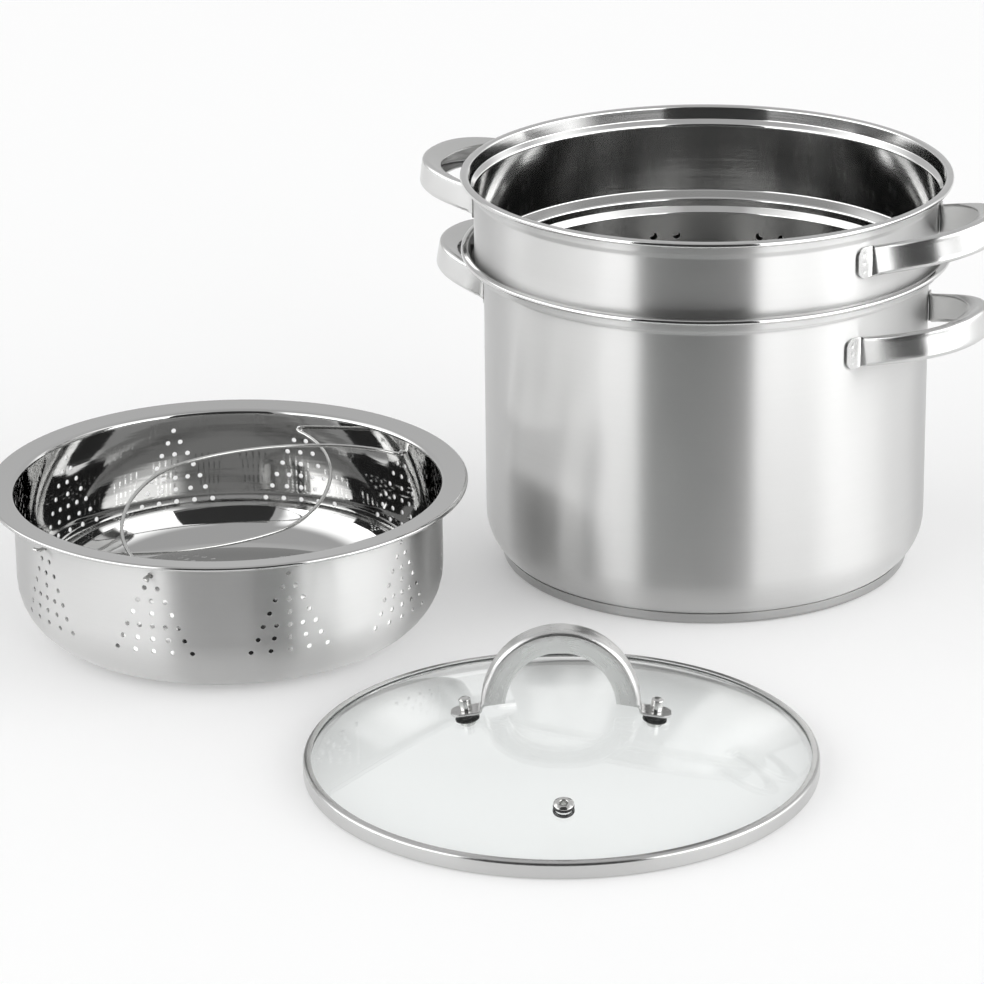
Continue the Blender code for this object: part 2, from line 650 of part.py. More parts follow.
def make_lid_handle():
    """The arch handle: a pressed strap like the side handles, on two tabs that lie along the glass."""
    sheet = STRAP_SHEET
    turning = Matrix.Rotation(LID_TURN, 3, "Z")
    across = turning @ Vector((1, 0, 0))
    sideways = turning @ Vector((0, 1, 0))
    stand_off = POST_GASKET_THICKNESS + 2 * GAP + sheet / 2

    def tab_point(side, distance):
        place = glass_frame(distance, LID_TURN + (0 if side > 0 else math.pi))
        return place @ Vector((0, 0, stand_off))

    def tab(side):
        for along, size in ARCH_TAB_OUTLINE:
            yield tab_point(side, ARCH_HALF_WIDTH + along * ARCH_TAB_LENGTH), sideways, size * ARCH_HEIGHT, sheet

    foot = tab_point(1, ARCH_HALF_WIDTH).z
    stations = list(tab(-1))
    flanged = np.linspace(-ARCH_FLANGE_END, ARCH_FLANGE_END, ARCH_STATIONS)
    left_foot = [-math.pi / 2, -ARCH_FLANGE_RUNOUT]
    right_foot = [ARCH_FLANGE_RUNOUT, math.pi / 2]
    turns = np.concatenate((left_foot, flanged, right_foot))
    path = bow(ARCH_HALF_WIDTH, ARCH_TOP - sheet / 2 - foot, ARCH_FULLNESS, turns)
    for turn, (aside, rise) in zip(turns, path):
        place = LID_PLACE + across * aside + Vector((0, 0, foot + rise))
        depth = sheet if abs(turn) > ARCH_FLANGE_END else ARCH_FLANGE
        stations.append((place, sideways, ARCH_HEIGHT, depth))
    stations += reversed(list(tab(1)))
    arch = strap("lid_handle", stations, HANDLE_STEEL)
    holes = []
    for side in (0, 1):
        place = glass_frame(POST_DISTANCE, LID_TURN + side * math.pi)
        holes.append((place, POST_RADIUS + POST_PLAY, 4 * stand_off, SMALL_FACETS))
    cut(arch, hole_cutter("tab_bore_cutter", holes), "Tab bores")


def make_post(name, side):
    """One handle fixing: cap nut, gaskets above and below the glass, washer and screw."""
    place = glass_frame(POST_DISTANCE, LID_TURN + side * math.pi)
    bore = POST_RADIUS + POST_PLAY
    seat = GAP + POST_GASKET_THICKNESS + GAP + STRAP_SHEET + GAP
    below = -through_glass(POST_DISTANCE)
    gasket_low = below - GAP - LOWER_GASKET_THICKNESS
    washer_top = gasket_low - GAP
    head_top = washer_top - WASHER_THICKNESS - GAP
    nut_top = seat + CAP_NUT_HEIGHT
    crown = nut_top - CAP_NUT_CROWN
    nut = [
        (0, nut_top),
        (CAP_NUT_RADIUS - 2 * CAP_NUT_CHAMFER, nut_top - CAP_NUT_CHAMFER / 2),
        (CAP_NUT_RADIUS, crown + CAP_NUT_CHAMFER / 2),
        (CAP_NUT_RADIUS, seat),
        (bore, seat),
        (bore, crown),
        (0, crown),
    ]
    shank_top = crown - GAP
    screw = [
        (0, shank_top),
        (POST_RADIUS, shank_top),
        (POST_RADIUS, head_top),
        (SCREW_HEAD_RADIUS, head_top),
        (SCREW_HEAD_RADIUS, head_top - SCREW_HEAD_HEIGHT + SCREW_HEAD_EDGE),
        (SCREW_HEAD_RADIUS - SCREW_HEAD_EDGE, head_top - SCREW_HEAD_HEIGHT),
        (0, head_top - SCREW_HEAD_HEIGHT),
    ]
    upper = ring_profile(bore, POST_GASKET_RADIUS, GAP, GAP + POST_GASKET_THICKNESS)
    lower = ring_profile(bore, POST_GASKET_RADIUS, gasket_low, below - GAP)
    washer = ring_profile(bore, WASHER_RADIUS, washer_top - WASHER_THICKNESS, washer_top)
    pieces = (
        (turned(f"cap_nut_{name}", nut, MIRROR_STEEL, facets=SMALL_FACETS)),
        (turned(f"handle_screw_{name}", screw, SATIN_STEEL, facets=SMALL_FACETS)),
        (turned(f"upper_gasket_{name}", upper, SILICONE, facets=SMALL_FACETS, ring=True)),
        (turned(f"lower_gasket_{name}", lower, SILICONE, facets=SMALL_FACETS, ring=True)),
        (turned(f"washer_{name}", washer, SATIN_STEEL, facets=SMALL_FACETS, ring=True)),
    )
    for piece in pieces:
        piece.matrix_world = place


def make_vent():
    """The steam vent: a crimped steel eyelet in a silicone grommet."""
    place = glass_frame(VENT_DISTANCE, VENT_TURN)
    below = -through_glass(VENT_DISTANCE)
    tube = VENT_BORE_RADIUS + VENT_TUBE_SHEET
    sleeve = tube + GAP
    throat = sleeve + GROMMET_SLEEVE
    top = GAP + GROMMET_FLANGE
    bottom = below - GAP - GROMMET_FLANGE
    grommet = [
        (sleeve, top),
        (GROMMET_RADIUS, top),
        (GROMMET_RADIUS, GAP),
        (throat, GAP),
        (throat, below - GAP),
        (GROMMET_RADIUS, below - GAP),
        (GROMMET_RADIUS, bottom),
        (sleeve, bottom),
    ]
    plate = top + GAP
    flare = bottom - GAP
    eyelet = [
        (VENT_BORE_RADIUS, plate + VENT_TUBE_SHEET + VENT_CROWN),
        (tube, plate + VENT_TUBE_SHEET + VENT_CROWN),
        (tube + VENT_CROWN, plate + VENT_TUBE_SHEET),
        (VENT_FLANGE_RADIUS, plate + VENT_TUBE_SHEET),
        (VENT_FLANGE_RADIUS, plate),
        (tube, plate),
        (tube, flare),
        (VENT_FLARE_RADIUS, flare),
        (VENT_FLARE_RADIUS, flare - VENT_TUBE_SHEET),
        (VENT_BORE_RADIUS, flare - VENT_TUBE_SHEET),
    ]
    for name, profile, material in (
        ("vent_grommet", grommet, SILICONE),
        ("vent_eyelet", eyelet, MIRROR_STEEL),
    ):
        turned(name, profile, material, facets=SMALL_FACETS, ring=True).matrix_world = place


make_pot()
make_insert()
make_basket()
make_lid()
make_lid_handle()
make_vent()
for side, name in enumerate(("right", "left")):
    pot_turn, insert_turn = POT_STRAP_TURNS[name], INSERT_STRAP_TURNS[name]
    pot_height, insert_height = POT_HEIGHT - POT_STRAP_DROP, INSERT_TOP - INSERT_STRAP_DROP
    make_strap_handle(f"pot_handle_{name}", pot_turn, POT_STRAP_TILT, POT_RADIUS, pot_height)
    insert_tilt = INSERT_STRAP_TILTS[name]
    make_strap_handle(f"insert_handle_{name}", insert_turn, insert_tilt, INSERT_WALL_RADIUS, insert_height)
    make_post(name, side)
for name, first_cluster in (("upper", 0), ("lower", BAIL_CLUSTERS + 1)):
    make_bail(f"bail_{name}", first_cluster, BAIL_LIFTS[name])
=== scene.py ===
"""The looks of a pasta pot set: pot, strainer insert, steamer basket and glass lid on a white table."""

import math

import bmesh
import bpy
import numpy as np
from mathutils import Matrix, Vector
from mathutils.bvhtree import BVHTree
from mathutils.interpolate import poly_3d_calc


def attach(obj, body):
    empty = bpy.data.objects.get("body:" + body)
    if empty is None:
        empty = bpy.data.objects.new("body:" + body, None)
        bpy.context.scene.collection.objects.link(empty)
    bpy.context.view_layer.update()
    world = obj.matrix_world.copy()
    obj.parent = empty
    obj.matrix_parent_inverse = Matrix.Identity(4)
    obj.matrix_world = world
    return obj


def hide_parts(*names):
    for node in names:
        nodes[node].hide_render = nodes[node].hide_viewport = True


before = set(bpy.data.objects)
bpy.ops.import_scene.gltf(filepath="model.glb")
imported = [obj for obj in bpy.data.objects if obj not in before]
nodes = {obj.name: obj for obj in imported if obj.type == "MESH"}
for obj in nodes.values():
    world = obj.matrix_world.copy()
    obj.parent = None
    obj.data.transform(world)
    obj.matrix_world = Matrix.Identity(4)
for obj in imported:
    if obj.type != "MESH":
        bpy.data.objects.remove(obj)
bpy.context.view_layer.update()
MM = 0.001

# Camera
# A long lens looks down on the set from the front, a little to the left of the pot's middle. Its small
# shift frames the set as the photograph does.
CAMERA_PLACE = (-115.84 * MM, -2196.42 * MM, 867.23 * MM)
CAMERA_FALL = math.radians(19.87)
CAMERA_ROLL = math.radians(-0.66)
camera_data = bpy.data.cameras.new("product_camera")
camera_data.lens = 154.9
camera_data.sensor_width = 36.0
camera_data.shift_x = -0.0029
camera_data.shift_y = -0.0672
camera_data.clip_start = 0.05
camera_data.clip_end = 40.0
camera = bpy.data.objects.new("product_camera", camera_data)
bpy.context.scene.collection.objects.link(camera)
camera.matrix_world = (
    Matrix.Translation(CAMERA_PLACE)
    @ Matrix.Rotation(math.pi / 2 - CAMERA_FALL, 4, "X")
    @ Matrix.Rotation(CAMERA_ROLL, 4, "Z")
)
bpy.context.scene.camera = camera


# Pot body
# Drawn from one 0.8 mm stainless sheet: a straight wall, a wide lower corner, and a stepped rim whose
# seat carries the insert. Brushed round and round outside, polished on the rim and inside.
class Wire:
    """A shader socket. Arithmetic on it adds Math nodes, and its add method makes any other node."""

    def __init__(self, socket):
        self.socket = socket
        self.tree = socket.id_data

    def add(self, kind, settings=(), output=0, **values):
        """Makes a node from its settings and its sockets' values or links, named with _ for spaces."""
        node = self.tree.nodes.new(kind)
        for key, value in dict(settings).items():
            setattr(node, key, value)
        for key, value in values.items():
            name = key.replace("_", " ")
            socket = node.inputs[int(name.split()[1]) if name.startswith("slot ") else name]
            if isinstance(value, Wire):
                self.tree.links.new(value.socket, socket)
            else:
                socket.default_value = value
        return Wire(node.outputs[output])

    def maths(self, operation, *values):
        """One Math node."""
        slots = {f"slot_{index}": value for index, value in enumerate(values)}
        return self.add("ShaderNodeMath", {"operation": operation}, **slots)

    def __add__(self, other):
        return self.maths("ADD", self, other)

    __radd__ = __add__

    def __sub__(self, other):
        return self.maths("SUBTRACT", self, other)

    def __rsub__(self, other):
        return self.maths("SUBTRACT", other, self)

    def __mul__(self, other):
        return self.maths("MULTIPLY", self, other)

    __rmul__ = __mul__

    def __truediv__(self, other):
        return self.maths("DIVIDE", self, other)

    def __rtruediv__(self, other):
        return self.maths("DIVIDE", other, self)

    def step(self, low, high):
        """0 below low and 1 above high, with a smooth rise between."""
        settings = {"interpolation_type": "SMOOTHSTEP"}
        return self.add("ShaderNodeMapRange", settings, Value=self, From_Min=low, From_Max=high)

    def feed(self, node, socket):
        """Links the wire to a socket of a node."""
        self.tree.links.new(self.socket, node.inputs[socket])


def new_finish(name, **constants):
    """A material with these fixed values, its Principled shader, and Object coordinates as a wire."""
    finish = bpy.data.materials.new(name)
    finish.use_nodes = True
    shader = finish.node_tree.nodes["Principled BSDF"]
    for key, value in constants.items():
        shader.inputs[key.replace("_", " ")].default_value = value
    finish.diffuse_color = (*shader.inputs["Base Color"].default_value[:3], 1.0)
    coordinates = finish.node_tree.nodes.new("ShaderNodeTexCoord")
    return finish, shader, Wire(coordinates.outputs["Object"])


def noise(point, scale, detail=2.0, roughness=0.6):
    """Soft uneven variation over a surface, about 0.5 on average."""
    return point.add("ShaderNodeTexNoise", Vector=point, Scale=scale, Detail=detail, Roughness=roughness)


def bend_light(height, shader):
    """Tips a shader's reflections as a relief of this height in mm would."""
    height.add("ShaderNodeBump", Height=height, Strength=1.0, Distance=MM).feed(shader, "Normal")


LINE_WANDER = (1.6, 1.6, 0.0)
BROAD_LINES = 0.12
MOTTLE_SCALE = 55.0
SWELL_SCALE = 26.0


def turned_steel(name, place, tone, roughness, spread, lines, sway, ripple):
    """Steel worked on a lathe: fine lines run round the upright axis at place.

    tone is its brightness, roughness and spread its sheen and how far a reflection stretches across the
    lines, lines their pitch in mm, sway how far each line tips the surface and ripple the depth in mm of
    the slow waves that the press leaves.
    """
    finish, shader, point = new_finish(
        name,
        Base_Color=(tone, tone, tone * 0.99, 1.0),
        Metallic=1.0,
        Roughness=roughness,
        Anisotropic=spread,
        Anisotropic_Rotation=0.25,
    )
    centred = point.add("ShaderNodeMapping", Vector=point, Location=(-place[0], -place[1], 0.0))
    level = {"operation": "MULTIPLY"}
    flat = point.add("ShaderNodeVectorMath", level, slot_0=centred, slot_1=(1.0, 1.0, 0.0))
    reach = flat.add("ShaderNodeVectorMath", {"operation": "LENGTH"}, output=1, slot_0=flat)
    facing = flat.add("ShaderNodeVectorMath", {"operation": "NORMALIZE"}, slot_0=flat)
    height = centred.add("ShaderNodeSeparateXYZ", output=2, Vector=centred)
    along = (height + reach) / (lines * MM)
    across = height.add("ShaderNodeCombineXYZ", X=0.0, Y=0.0, Z=along)
    wound = {"operation": "MULTIPLY_ADD"}
    streak = facing.add("ShaderNodeVectorMath", wound, slot_0=facing, slot_1=LINE_WANDER, slot_2=across)
    fine = noise(streak, 1.0)
    coarse = noise(streak, BROAD_LINES, 2.0, 0.5)
    mottle = noise(centred, MOTTLE_SCALE, 2.0, 0.5)
    sheen = roughness * 0.85 + fine * (roughness * 0.2) + mottle * (roughness * 0.1)
    sheen.feed(shader, "Roughness")
    shade = (tone * 0.98, tone * 0.98, tone * 0.975, 1.0)
    light = (tone * 1.02, tone * 1.02, tone * 1.01, 1.0)
    grain = coarse * 0.6 + fine * 0.4
    tint = {"data_type": "RGBA"}
    steel = grain.add("ShaderNodeMix", tint, output=2, slot_0=grain, slot_6=shade, slot_7=light)
    steel.feed(shader, "Base Color")
    swell = noise(centred, SWELL_SCALE, 1.0, 0.4)
    waves = swell.add("ShaderNodeBump", Height=swell * ripple, Strength=1.0, Distance=MM)
    tip = (fine - 0.5) * (4.0 * sway)
    lean = tip.add("ShaderNodeCombineXYZ", X=0.0, Y=0.0, Z=tip)
    tipped = waves.add("ShaderNodeVectorMath", {"operation": "ADD"}, slot_0=waves, slot_1=lean)
    tipped.add("ShaderNodeVectorMath", {"operation": "NORMALIZE"}, slot_0=tipped).feed(shader, "Normal")
    return finish


POT_PLACE = (0.0, 0.0)
POT_TOP = 178.0 * MM
POT_RADIUS = 121.0 * MM
POT_SHEET = 0.8 * MM
POT_CORNER = 28.0 * MM
SEAT_RADIUS = POT_RADIUS + 6.6 * MM
SEAT_DEPTH = 9.0 * MM
SEAT_FALL = 2.0 * MM
SEAT_EDGE = 7.4 * MM
LIP_RADIUS = SEAT_RADIUS + 5.6 * MM
BASE_RADIUS = POT_RADIUS - 9.0 * MM
GROOVE_HEIGHT = 6.6 * MM
BASE_STACK = 4.8 * MM
BEND_STEP = math.radians(11.0)
TURN_STEPS = 180
MERGE = 0.002 * MM


def with_bends(corners):
    """Points of a profile of (radius, height, bend radius) corners, each bend drawn as an arc."""
    path = [Vector(corners[0][:2])]
    for before, corner, after in zip(corners, corners[1:], corners[2:]):
        here = Vector(corner[:2])
        back = Vector(before[:2]) - here
        ahead = Vector(after[:2]) - here
        turn = math.pi - back.angle(ahead)
        if corner[2] <= 0 or turn < 0.01:
            path.append(here)
            continue
        reach = min(corner[2] * math.tan(turn / 2), 0.48 * min(back.length, ahead.length))
        size = reach / math.tan(turn / 2)
        middle = here + (back.normalized() + ahead.normalized()).normalized() * size / math.cos(turn / 2)
        start = here + back.normalized() * reach - middle
        side = 1 if back.x * ahead.y - back.y * ahead.x < 0 else -1
        steps = max(2, math.ceil(turn / BEND_STEP))
        for step in range(steps + 1):
            path.append(middle + Matrix.Rotation(side * turn * step / steps, 2) @ start)
    path.append(Vector(corners[-1][:2]))
    return path


def arc(centre, size, start, end, steps):
    """Points of a profile's arc about (radius, height), its angles measured down from level."""
    for step in range(steps + 1):
        angle = start + (end - start) * step / steps
        yield Vector((centre[0] + size * math.cos(angle), centre[1] - size * math.sin(angle)))


def spin(name, path, place=(0.0, 0.0), steps=TURN_STEPS, closed=False, inward=False):
    """Draws a profile by extruding one vertex along it, then spins it round the axis at place."""
    bpy.ops.object.select_all(action="DESELECT")
    bpy.ops.mesh.primitive_plane_add(size=0.01, location=(0.0, 0.0, 0.0))
    thing = bpy.context.object
    thing.name = name
    thing.data.name = name
    bpy.ops.object.mode_set(mode="EDIT")
    bpy.ops.mesh.merge(type="CENTER")
    bpy.ops.transform.translate(value=(place[0] + path[0][0], place[1], path[0][1]))
    points = path + [path[0]] if closed else path
    for here, ahead in zip(points, points[1:]):
        step = (ahead[0] - here[0], 0.0, ahead[1] - here[1])
        bpy.ops.mesh.extrude_region_move(TRANSFORM_OT_translate={"value": step})
    bpy.ops.mesh.select_all(action="SELECT")
    bpy.ops.mesh.remove_doubles(threshold=MERGE)
    bpy.ops.mesh.spin(steps=steps, angle=math.tau, center=(*place, 0.0), axis=(0.0, 0.0, 1.0))
    bpy.ops.mesh.select_all(action="SELECT")
    bpy.ops.mesh.remove_doubles(threshold=MERGE)
    bpy.ops.mesh.normals_make_consistent(inside=inward)
    bpy.ops.object.mode_set(mode="OBJECT")
    return thing


def pick(thing):
    """Selects one piece alone and makes it the active one."""
    bpy.ops.object.select_all(action="DESELECT")
    thing.select_set(True)
    bpy.context.view_layer.objects.active = thing


def apply(thing, kind, **settings):
    """Adds one modifier to a piece and applies it."""
    modifier = thing.modifiers.new(kind.title(), kind)
    for key, value in settings.items():
        setattr(modifier, key, value)
    pick(thing)
    bpy.ops.object.modifier_apply(modifier=modifier.name)


def smooth(thing, angle=38.0):
    """Shades a piece smooth, with its edges sharper than the angle kept crisp."""
    pick(thing)
    bpy.ops.object.shade_smooth_by_angle(angle=math.radians(angle))


def smooth_spun(thing):
    """Shades a spun piece smooth, and keeps its straight walls straight right up to the bends."""
    smooth(thing)
    apply(thing, "WEIGHTED_NORMAL", keep_sharp=True)


def sheet_wall(thing, gauge, finishes, edge=0.22 * MM):
    """Gives a spun skin its thickness inwards and rounds the sheet's bare edge."""
    for finish in finishes:
        thing.data.materials.append(finish)
    inner = len(finishes) - 1
    apply(
        thing,
        "SOLIDIFY",
        thickness=gauge,
        offset=-1,
        use_even_offset=True,
        material_offset=inner,
        material_offset_rim=inner,
    )
    apply(thing, "BEVEL", width=edge, segments=2, limit_method="ANGLE", angle_limit=math.radians(50))


def settle(thing, body, slot, *replaced):
    """The piece moves with a body and stands for the solids it replaces, which are hidden. Its slot
    argument is not used.
    """
    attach(thing, body)
    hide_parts(*replaced)


def stepped_rim(top, gauge):
    """Corners of the rim's underside: a rolled lip, the flared band below it, and the seat."""
    return [
        (LIP_RADIUS - 1.7 * MM, top - 3.0 * MM, 0),
        (LIP_RADIUS - 0.7 * MM, top - 2.6 * MM, 0.5 * MM),
        (LIP_RADIUS - 0.8 * MM, top - 0.6 * MM - gauge, 1.3 * MM),
        (SEAT_RADIUS + 1.4 * MM + gauge, top - 0.2 * MM - gauge, 1.2 * MM),
        (SEAT_RADIUS + gauge, top - SEAT_EDGE - gauge, 1.9 * MM),
    ]


WALL_BRUSHING = dict(tone=0.64, roughness=0.39, spread=1.0, lines=0.25, sway=0.008, ripple=0.005)
POT_POLISH = dict(tone=0.62, roughness=0.06, spread=0.3, lines=0.9, sway=0.01, ripple=0.006)
pot_outside = turned_steel("brushed_pot_wall", POT_PLACE, **WALL_BRUSHING)
pot_inside = turned_steel("polished_pot_inside", POT_PLACE, **POT_POLISH)
wide_middle = POT_RADIUS - POT_CORNER
slant = math.acos((BASE_RADIUS - wide_middle) / POT_CORNER)
wide_height = GROOVE_HEIGHT + POT_CORNER * math.sin(slant)
tight_size = (GROOVE_HEIGHT - BASE_STACK) / (1 - math.sin(slant))
tight_middle = wide_middle + (POT_CORNER - tight_size) * math.cos(slant)
tight_height = wide_height - (POT_CORNER - tight_size) * math.sin(slant)
pot_path = with_bends(
    [
        *stepped_rim(POT_TOP, POT_SHEET),
        (POT_RADIUS, POT_TOP - SEAT_DEPTH - SEAT_FALL - POT_SHEET, 2.0 * MM),
        (POT_RADIUS, wide_height, 0),
    ]
)
pot_path += list(arc((wide_middle, wide_height), POT_CORNER, 0.0, slant, 12))[1:]
pot_path += list(arc((tight_middle, tight_height), tight_size, slant, math.pi / 2, 6))[1:]
pot_path.append(Vector((0.0, BASE_STACK)))
pot_body = spin("stock_pot", pot_path, POT_PLACE, inward=True)
sheet_wall(pot_body, POT_SHEET, (pot_outside, pot_inside))
smooth_spun(pot_body)
settle(pot_body, "pot", "satin_steel", "pot_body")


# Pot base
# An aluminium disc bonded under the body spreads the heat. A drawn steel cup closes it and meets the
# body in a fine groove.
core_finish, core_shader, core_point = new_finish(
    "turned_aluminium", Base_Color=(0.60, 0.61, 0.62, 1.0), Metallic=1.0, Roughness=0.45
)
core_grain = noise(core_point, 900.0)
(core_grain * 0.2 + 0.36).feed(core_shader, "Roughness")
nodes["base_core"].data.materials.clear()
nodes["base_core"].data.materials.append(core_finish)

CAP_GAUGE = 0.6 * MM
CAP_GROOVE = 0.12 * MM
cap_inner = BASE_RADIUS - CAP_GAUGE
cap_reach = max(0.0, cap_inner - tight_middle)
cap_top = tight_height - math.sqrt(tight_size**2 - cap_reach**2) - CAP_GROOVE
cap_path = with_bends([(BASE_RADIUS, cap_top, 0), (BASE_RADIUS, 0.0, 2.2 * MM), (0.0, 0.0, 0)])
CAP_BRUSHING = dict(tone=0.42, roughness=0.30, spread=0.8, lines=0.4, sway=0.02, ripple=0.004)
cap_finish = turned_steel("brushed_base_cap", POT_PLACE, **CAP_BRUSHING)
base_cap = spin("base_cup", cap_path, POT_PLACE)
sheet_wall(base_cap, CAP_GAUGE, (cap_finish, cap_finish), edge=0.2 * MM)
smooth_spun(base_cap)
settle(base_cap, "pot", "satin_steel", "base_cap")


# Strainer insert
# A second drawn shell hangs by its shelf on the pot's seat. Below the second step its wall and floor
# are pierced, so that the pasta lifts out and the water stays.
INSERT_TOP = POT_TOP + 41.5 * MM
INSERT_SHEET = 0.7 * MM
upper_radius = SEAT_RADIUS - 1.6 * MM
collar_radius = POT_RADIUS - POT_SHEET - 0.6 * MM
insert_radius = collar_radius - 2.4 * MM
insert_floor = BASE_STACK + POT_SHEET + 18.0 * MM
shelf_slope = (SEAT_DEPTH + SEAT_FALL - SEAT_EDGE) / (SEAT_RADIUS - POT_RADIUS + POT_SHEET)
FLUSH = 0.97
DRAIN_RADIUS = 2.25 * MM
DRAIN_CLUSTERS = 12
DRAIN_TURN = math.radians(8.6)
DRAIN_ROWS = (2, 3, 2, 3, 2, 3, 2)
DRAIN_PITCH = 13.4 * MM
DRAIN_ROW_STEP = 15.0 * MM
DRAIN_TOP = 13.0 * MM
DRAIN_RINGS = (1, 6, 12, 18)
DRAIN_RING_STEP = 24.0 * MM


def shelf_height(radius):
    """Height of the underside of the insert's shelf, which lies on the pot's seat."""
    return POT_TOP - SEAT_EDGE - (SEAT_RADIUS - radius) * shelf_slope


def keep_gloss(thing, plain):
    """Gives the faces round punched holes the smooth shading that the unpunched shell has there."""
    whole = plain.data
    corners = [point.co for point in whole.vertices]
    tree = BVHTree.FromPolygons(corners, [face.vertices for face in whole.polygons])
    corner_normals = whole.corner_normals
    wanted = [(0.0, 0.0, 0.0)] * len(thing.data.loops)
    points = thing.data.vertices
    for face in thing.data.polygons:
        found = tree.find_nearest(face.center)
        old = whole.polygons[found[2]]
        if face.normal.dot(old.normal) < FLUSH:
            continue
        corners = [whole.vertices[index].co for index in old.vertices]
        for loop in face.loop_indices:
            place = points[thing.data.loops[loop].vertex_index].co
            shares = poly_3d_calc(corners, place)
            normal = Vector((0.0, 0.0, 0.0))
            for corner, share in zip(old.loop_indices, shares):
                normal += corner_normals[corner].vector * share
            wanted[loop] = normal.normalized()
    thing.data.normals_split_custom_set(wanted)
    bpy.data.objects.remove(plain)


UPRIGHT = Vector((0.0, 0.0, 1.0))


def bearing(turn):
    """Level direction at a turn about the upright axis."""
    return Vector((math.cos(turn), math.sin(turn), 0.0))


def pierce(thing, holes, sides, length):
    """Punches round holes, given as (place, direction, radius), with one cutter of many short rods."""
    bpy.ops.object.select_all(action="DESELECT")
    bpy.ops.mesh.primitive_cylinder_add(
        vertices=sides, radius=1.0, depth=length, location=(0.0, 0.0, 0.0)
    )
    rod = bpy.context.object
    shape = bmesh.new()
    for place, direction, radius in holes:
        turn = UPRIGHT.rotation_difference(Vector(direction)).to_matrix().to_4x4()
        size = Matrix.Diagonal((radius, radius, 1.0, 1.0))
        copy = rod.data.copy()
        copy.transform(Matrix.Translation(place) @ turn @ size)
        shape.from_mesh(copy)
        bpy.data.meshes.remove(copy)
    shape.to_mesh(rod.data)
    shape.free()
    apply(thing, "BOOLEAN", operation="DIFFERENCE", solver="EXACT", object=rod)
    bpy.data.objects.remove(rod)


collar_low = shelf_height(collar_radius) - 4.1 * MM
wall_top = collar_low - 3.5 * MM
insert_path = with_bends(
    [
        *stepped_rim(INSERT_TOP, INSERT_SHEET),
        (upper_radius, INSERT_TOP - SEAT_DEPTH - INSERT_SHEET - 1.2 * MM, 2.2 * MM),
        (upper_radius, shelf_height(upper_radius), 2.0 * MM),
        (collar_radius, shelf_height(collar_radius), 1.4 * MM),
        (collar_radius, collar_low, 1.2 * MM),
        (insert_radius, wall_top, 1.2 * MM),
        (insert_radius, insert_floor, 24.0 * MM),
        (0.0, insert_floor, 0),
    ]
)
INSERT_POLISH = dict(tone=0.64, roughness=0.11, spread=0.4, lines=0.9, sway=0.01, ripple=0.004)
insert_outside = turned_steel("brushed_insert_wall", POT_PLACE, **WALL_BRUSHING)
insert_inside = turned_steel("polished_insert_inside", POT_PLACE, **INSERT_POLISH)
insert_body = spin("strainer_insert", insert_path, POT_PLACE, inward=True)
sheet_wall(insert_body, INSERT_SHEET, (insert_outside, insert_inside))
insert_holes = []
for cluster in range(DRAIN_CLUSTERS):
    middle_turn = DRAIN_TURN + math.tau * cluster / DRAIN_CLUSTERS
    for row, count in enumerate(DRAIN_ROWS):
        for number in range(count):
            turn = middle_turn + (number - (count - 1) / 2) * DRAIN_PITCH / insert_radius
            outward = bearing(turn)
            place = outward * insert_radius
            place.z = wall_top - DRAIN_TOP - DRAIN_ROW_STEP * row
            insert_holes.append((place, outward, DRAIN_RADIUS))
for ring, count in enumerate(DRAIN_RINGS):
    for number in range(count):
        turn = math.tau * (number + 0.5 * ring) / count
        place = bearing(turn) * ring * DRAIN_RING_STEP
        place.z = insert_floor
        insert_holes.append((place, UPRIGHT, DRAIN_RADIUS))
smooth_spun(insert_body)
insert_plain = insert_body.copy()
insert_plain.data = insert_body.data.copy()
pierce(insert_body, insert_holes, sides=20, length=6.0 * MM)
smooth(insert_body)
keep_gloss(insert_body, insert_plain)
settle(insert_body, "insert", "satin_steel", "insert_body")


# Side handles
# Each is one strip of 1.2 mm steel, pressed into a channel, bent round and spot-welded to the wall by
# its two tabs. The blank is a flat grid whose points are moved to the pressed shape.
STRAP_GAUGE = 1.2 * MM
STRAP_HALF_WIDTH = 42.0 * MM
STRAP_REACH = 49.6 * MM
STRAP_FULLNESS = 2.29
STRAP_HEIGHT = 15.8 * MM
STRAP_FLANGE = 12.5 * MM
FLANGE_SLOPE = 0.25
FLANGE_BEND = 1.8 * MM
DENT_BALL = 5.0 * MM
DENT_DEPTH = 0.13 * MM
DENT_PITCH = 4.7 * MM
TAB_STOPS = (9.8, 9.7, 9.4, 8.8, 8.0, 7.0, 6.0, 5.0, 4.0, 3.2)
TAB_HEIGHT = 18.0 * MM
TAB_CORNER = 4.8
TAB_MIDDLE = 6.0 * MM
WALL_GAP = 0.3 * MM
BOW_START = 1.4 * MM
BOW_STEPS = 56
FOOT_STEPS = 7


def strap_steel(name, tone, roughness):
    """Steel brushed along a strip. The lines follow the strip's own UV map."""
    finish, shader, point = new_finish(
        name, Base_Color=(tone, tone, tone * 0.99, 1.0), Metallic=1.0, Roughness=roughness
    )
    layout = point.add("ShaderNodeUVMap")
    stretched = layout.add("ShaderNodeMapping", Vector=layout, Scale=(4.0, 130.0, 1.0))
    fine = noise(stretched, 1.0, 3.0, 0.6)
    mottle = noise(point, 120.0, 2.0, 0.5)
    (fine * 0.06 + mottle * 0.04 + (roughness - 0.05)).feed(shader, "Roughness")
    dark = (tone * 0.96, tone * 0.96, tone * 0.955, 1.0)
    light = (tone * 1.04, tone * 1.04, tone * 1.03, 1.0)
    tint = {"data_type": "RGBA"}
    steel = fine.add("ShaderNodeMix", tint, output=2, slot_0=fine, slot_6=dark, slot_7=light)
    steel.feed(shader, "Base Color")
    relief = fine * 0.0006 + mottle * 0.004
    bend_light(relief, shader)
    return finish


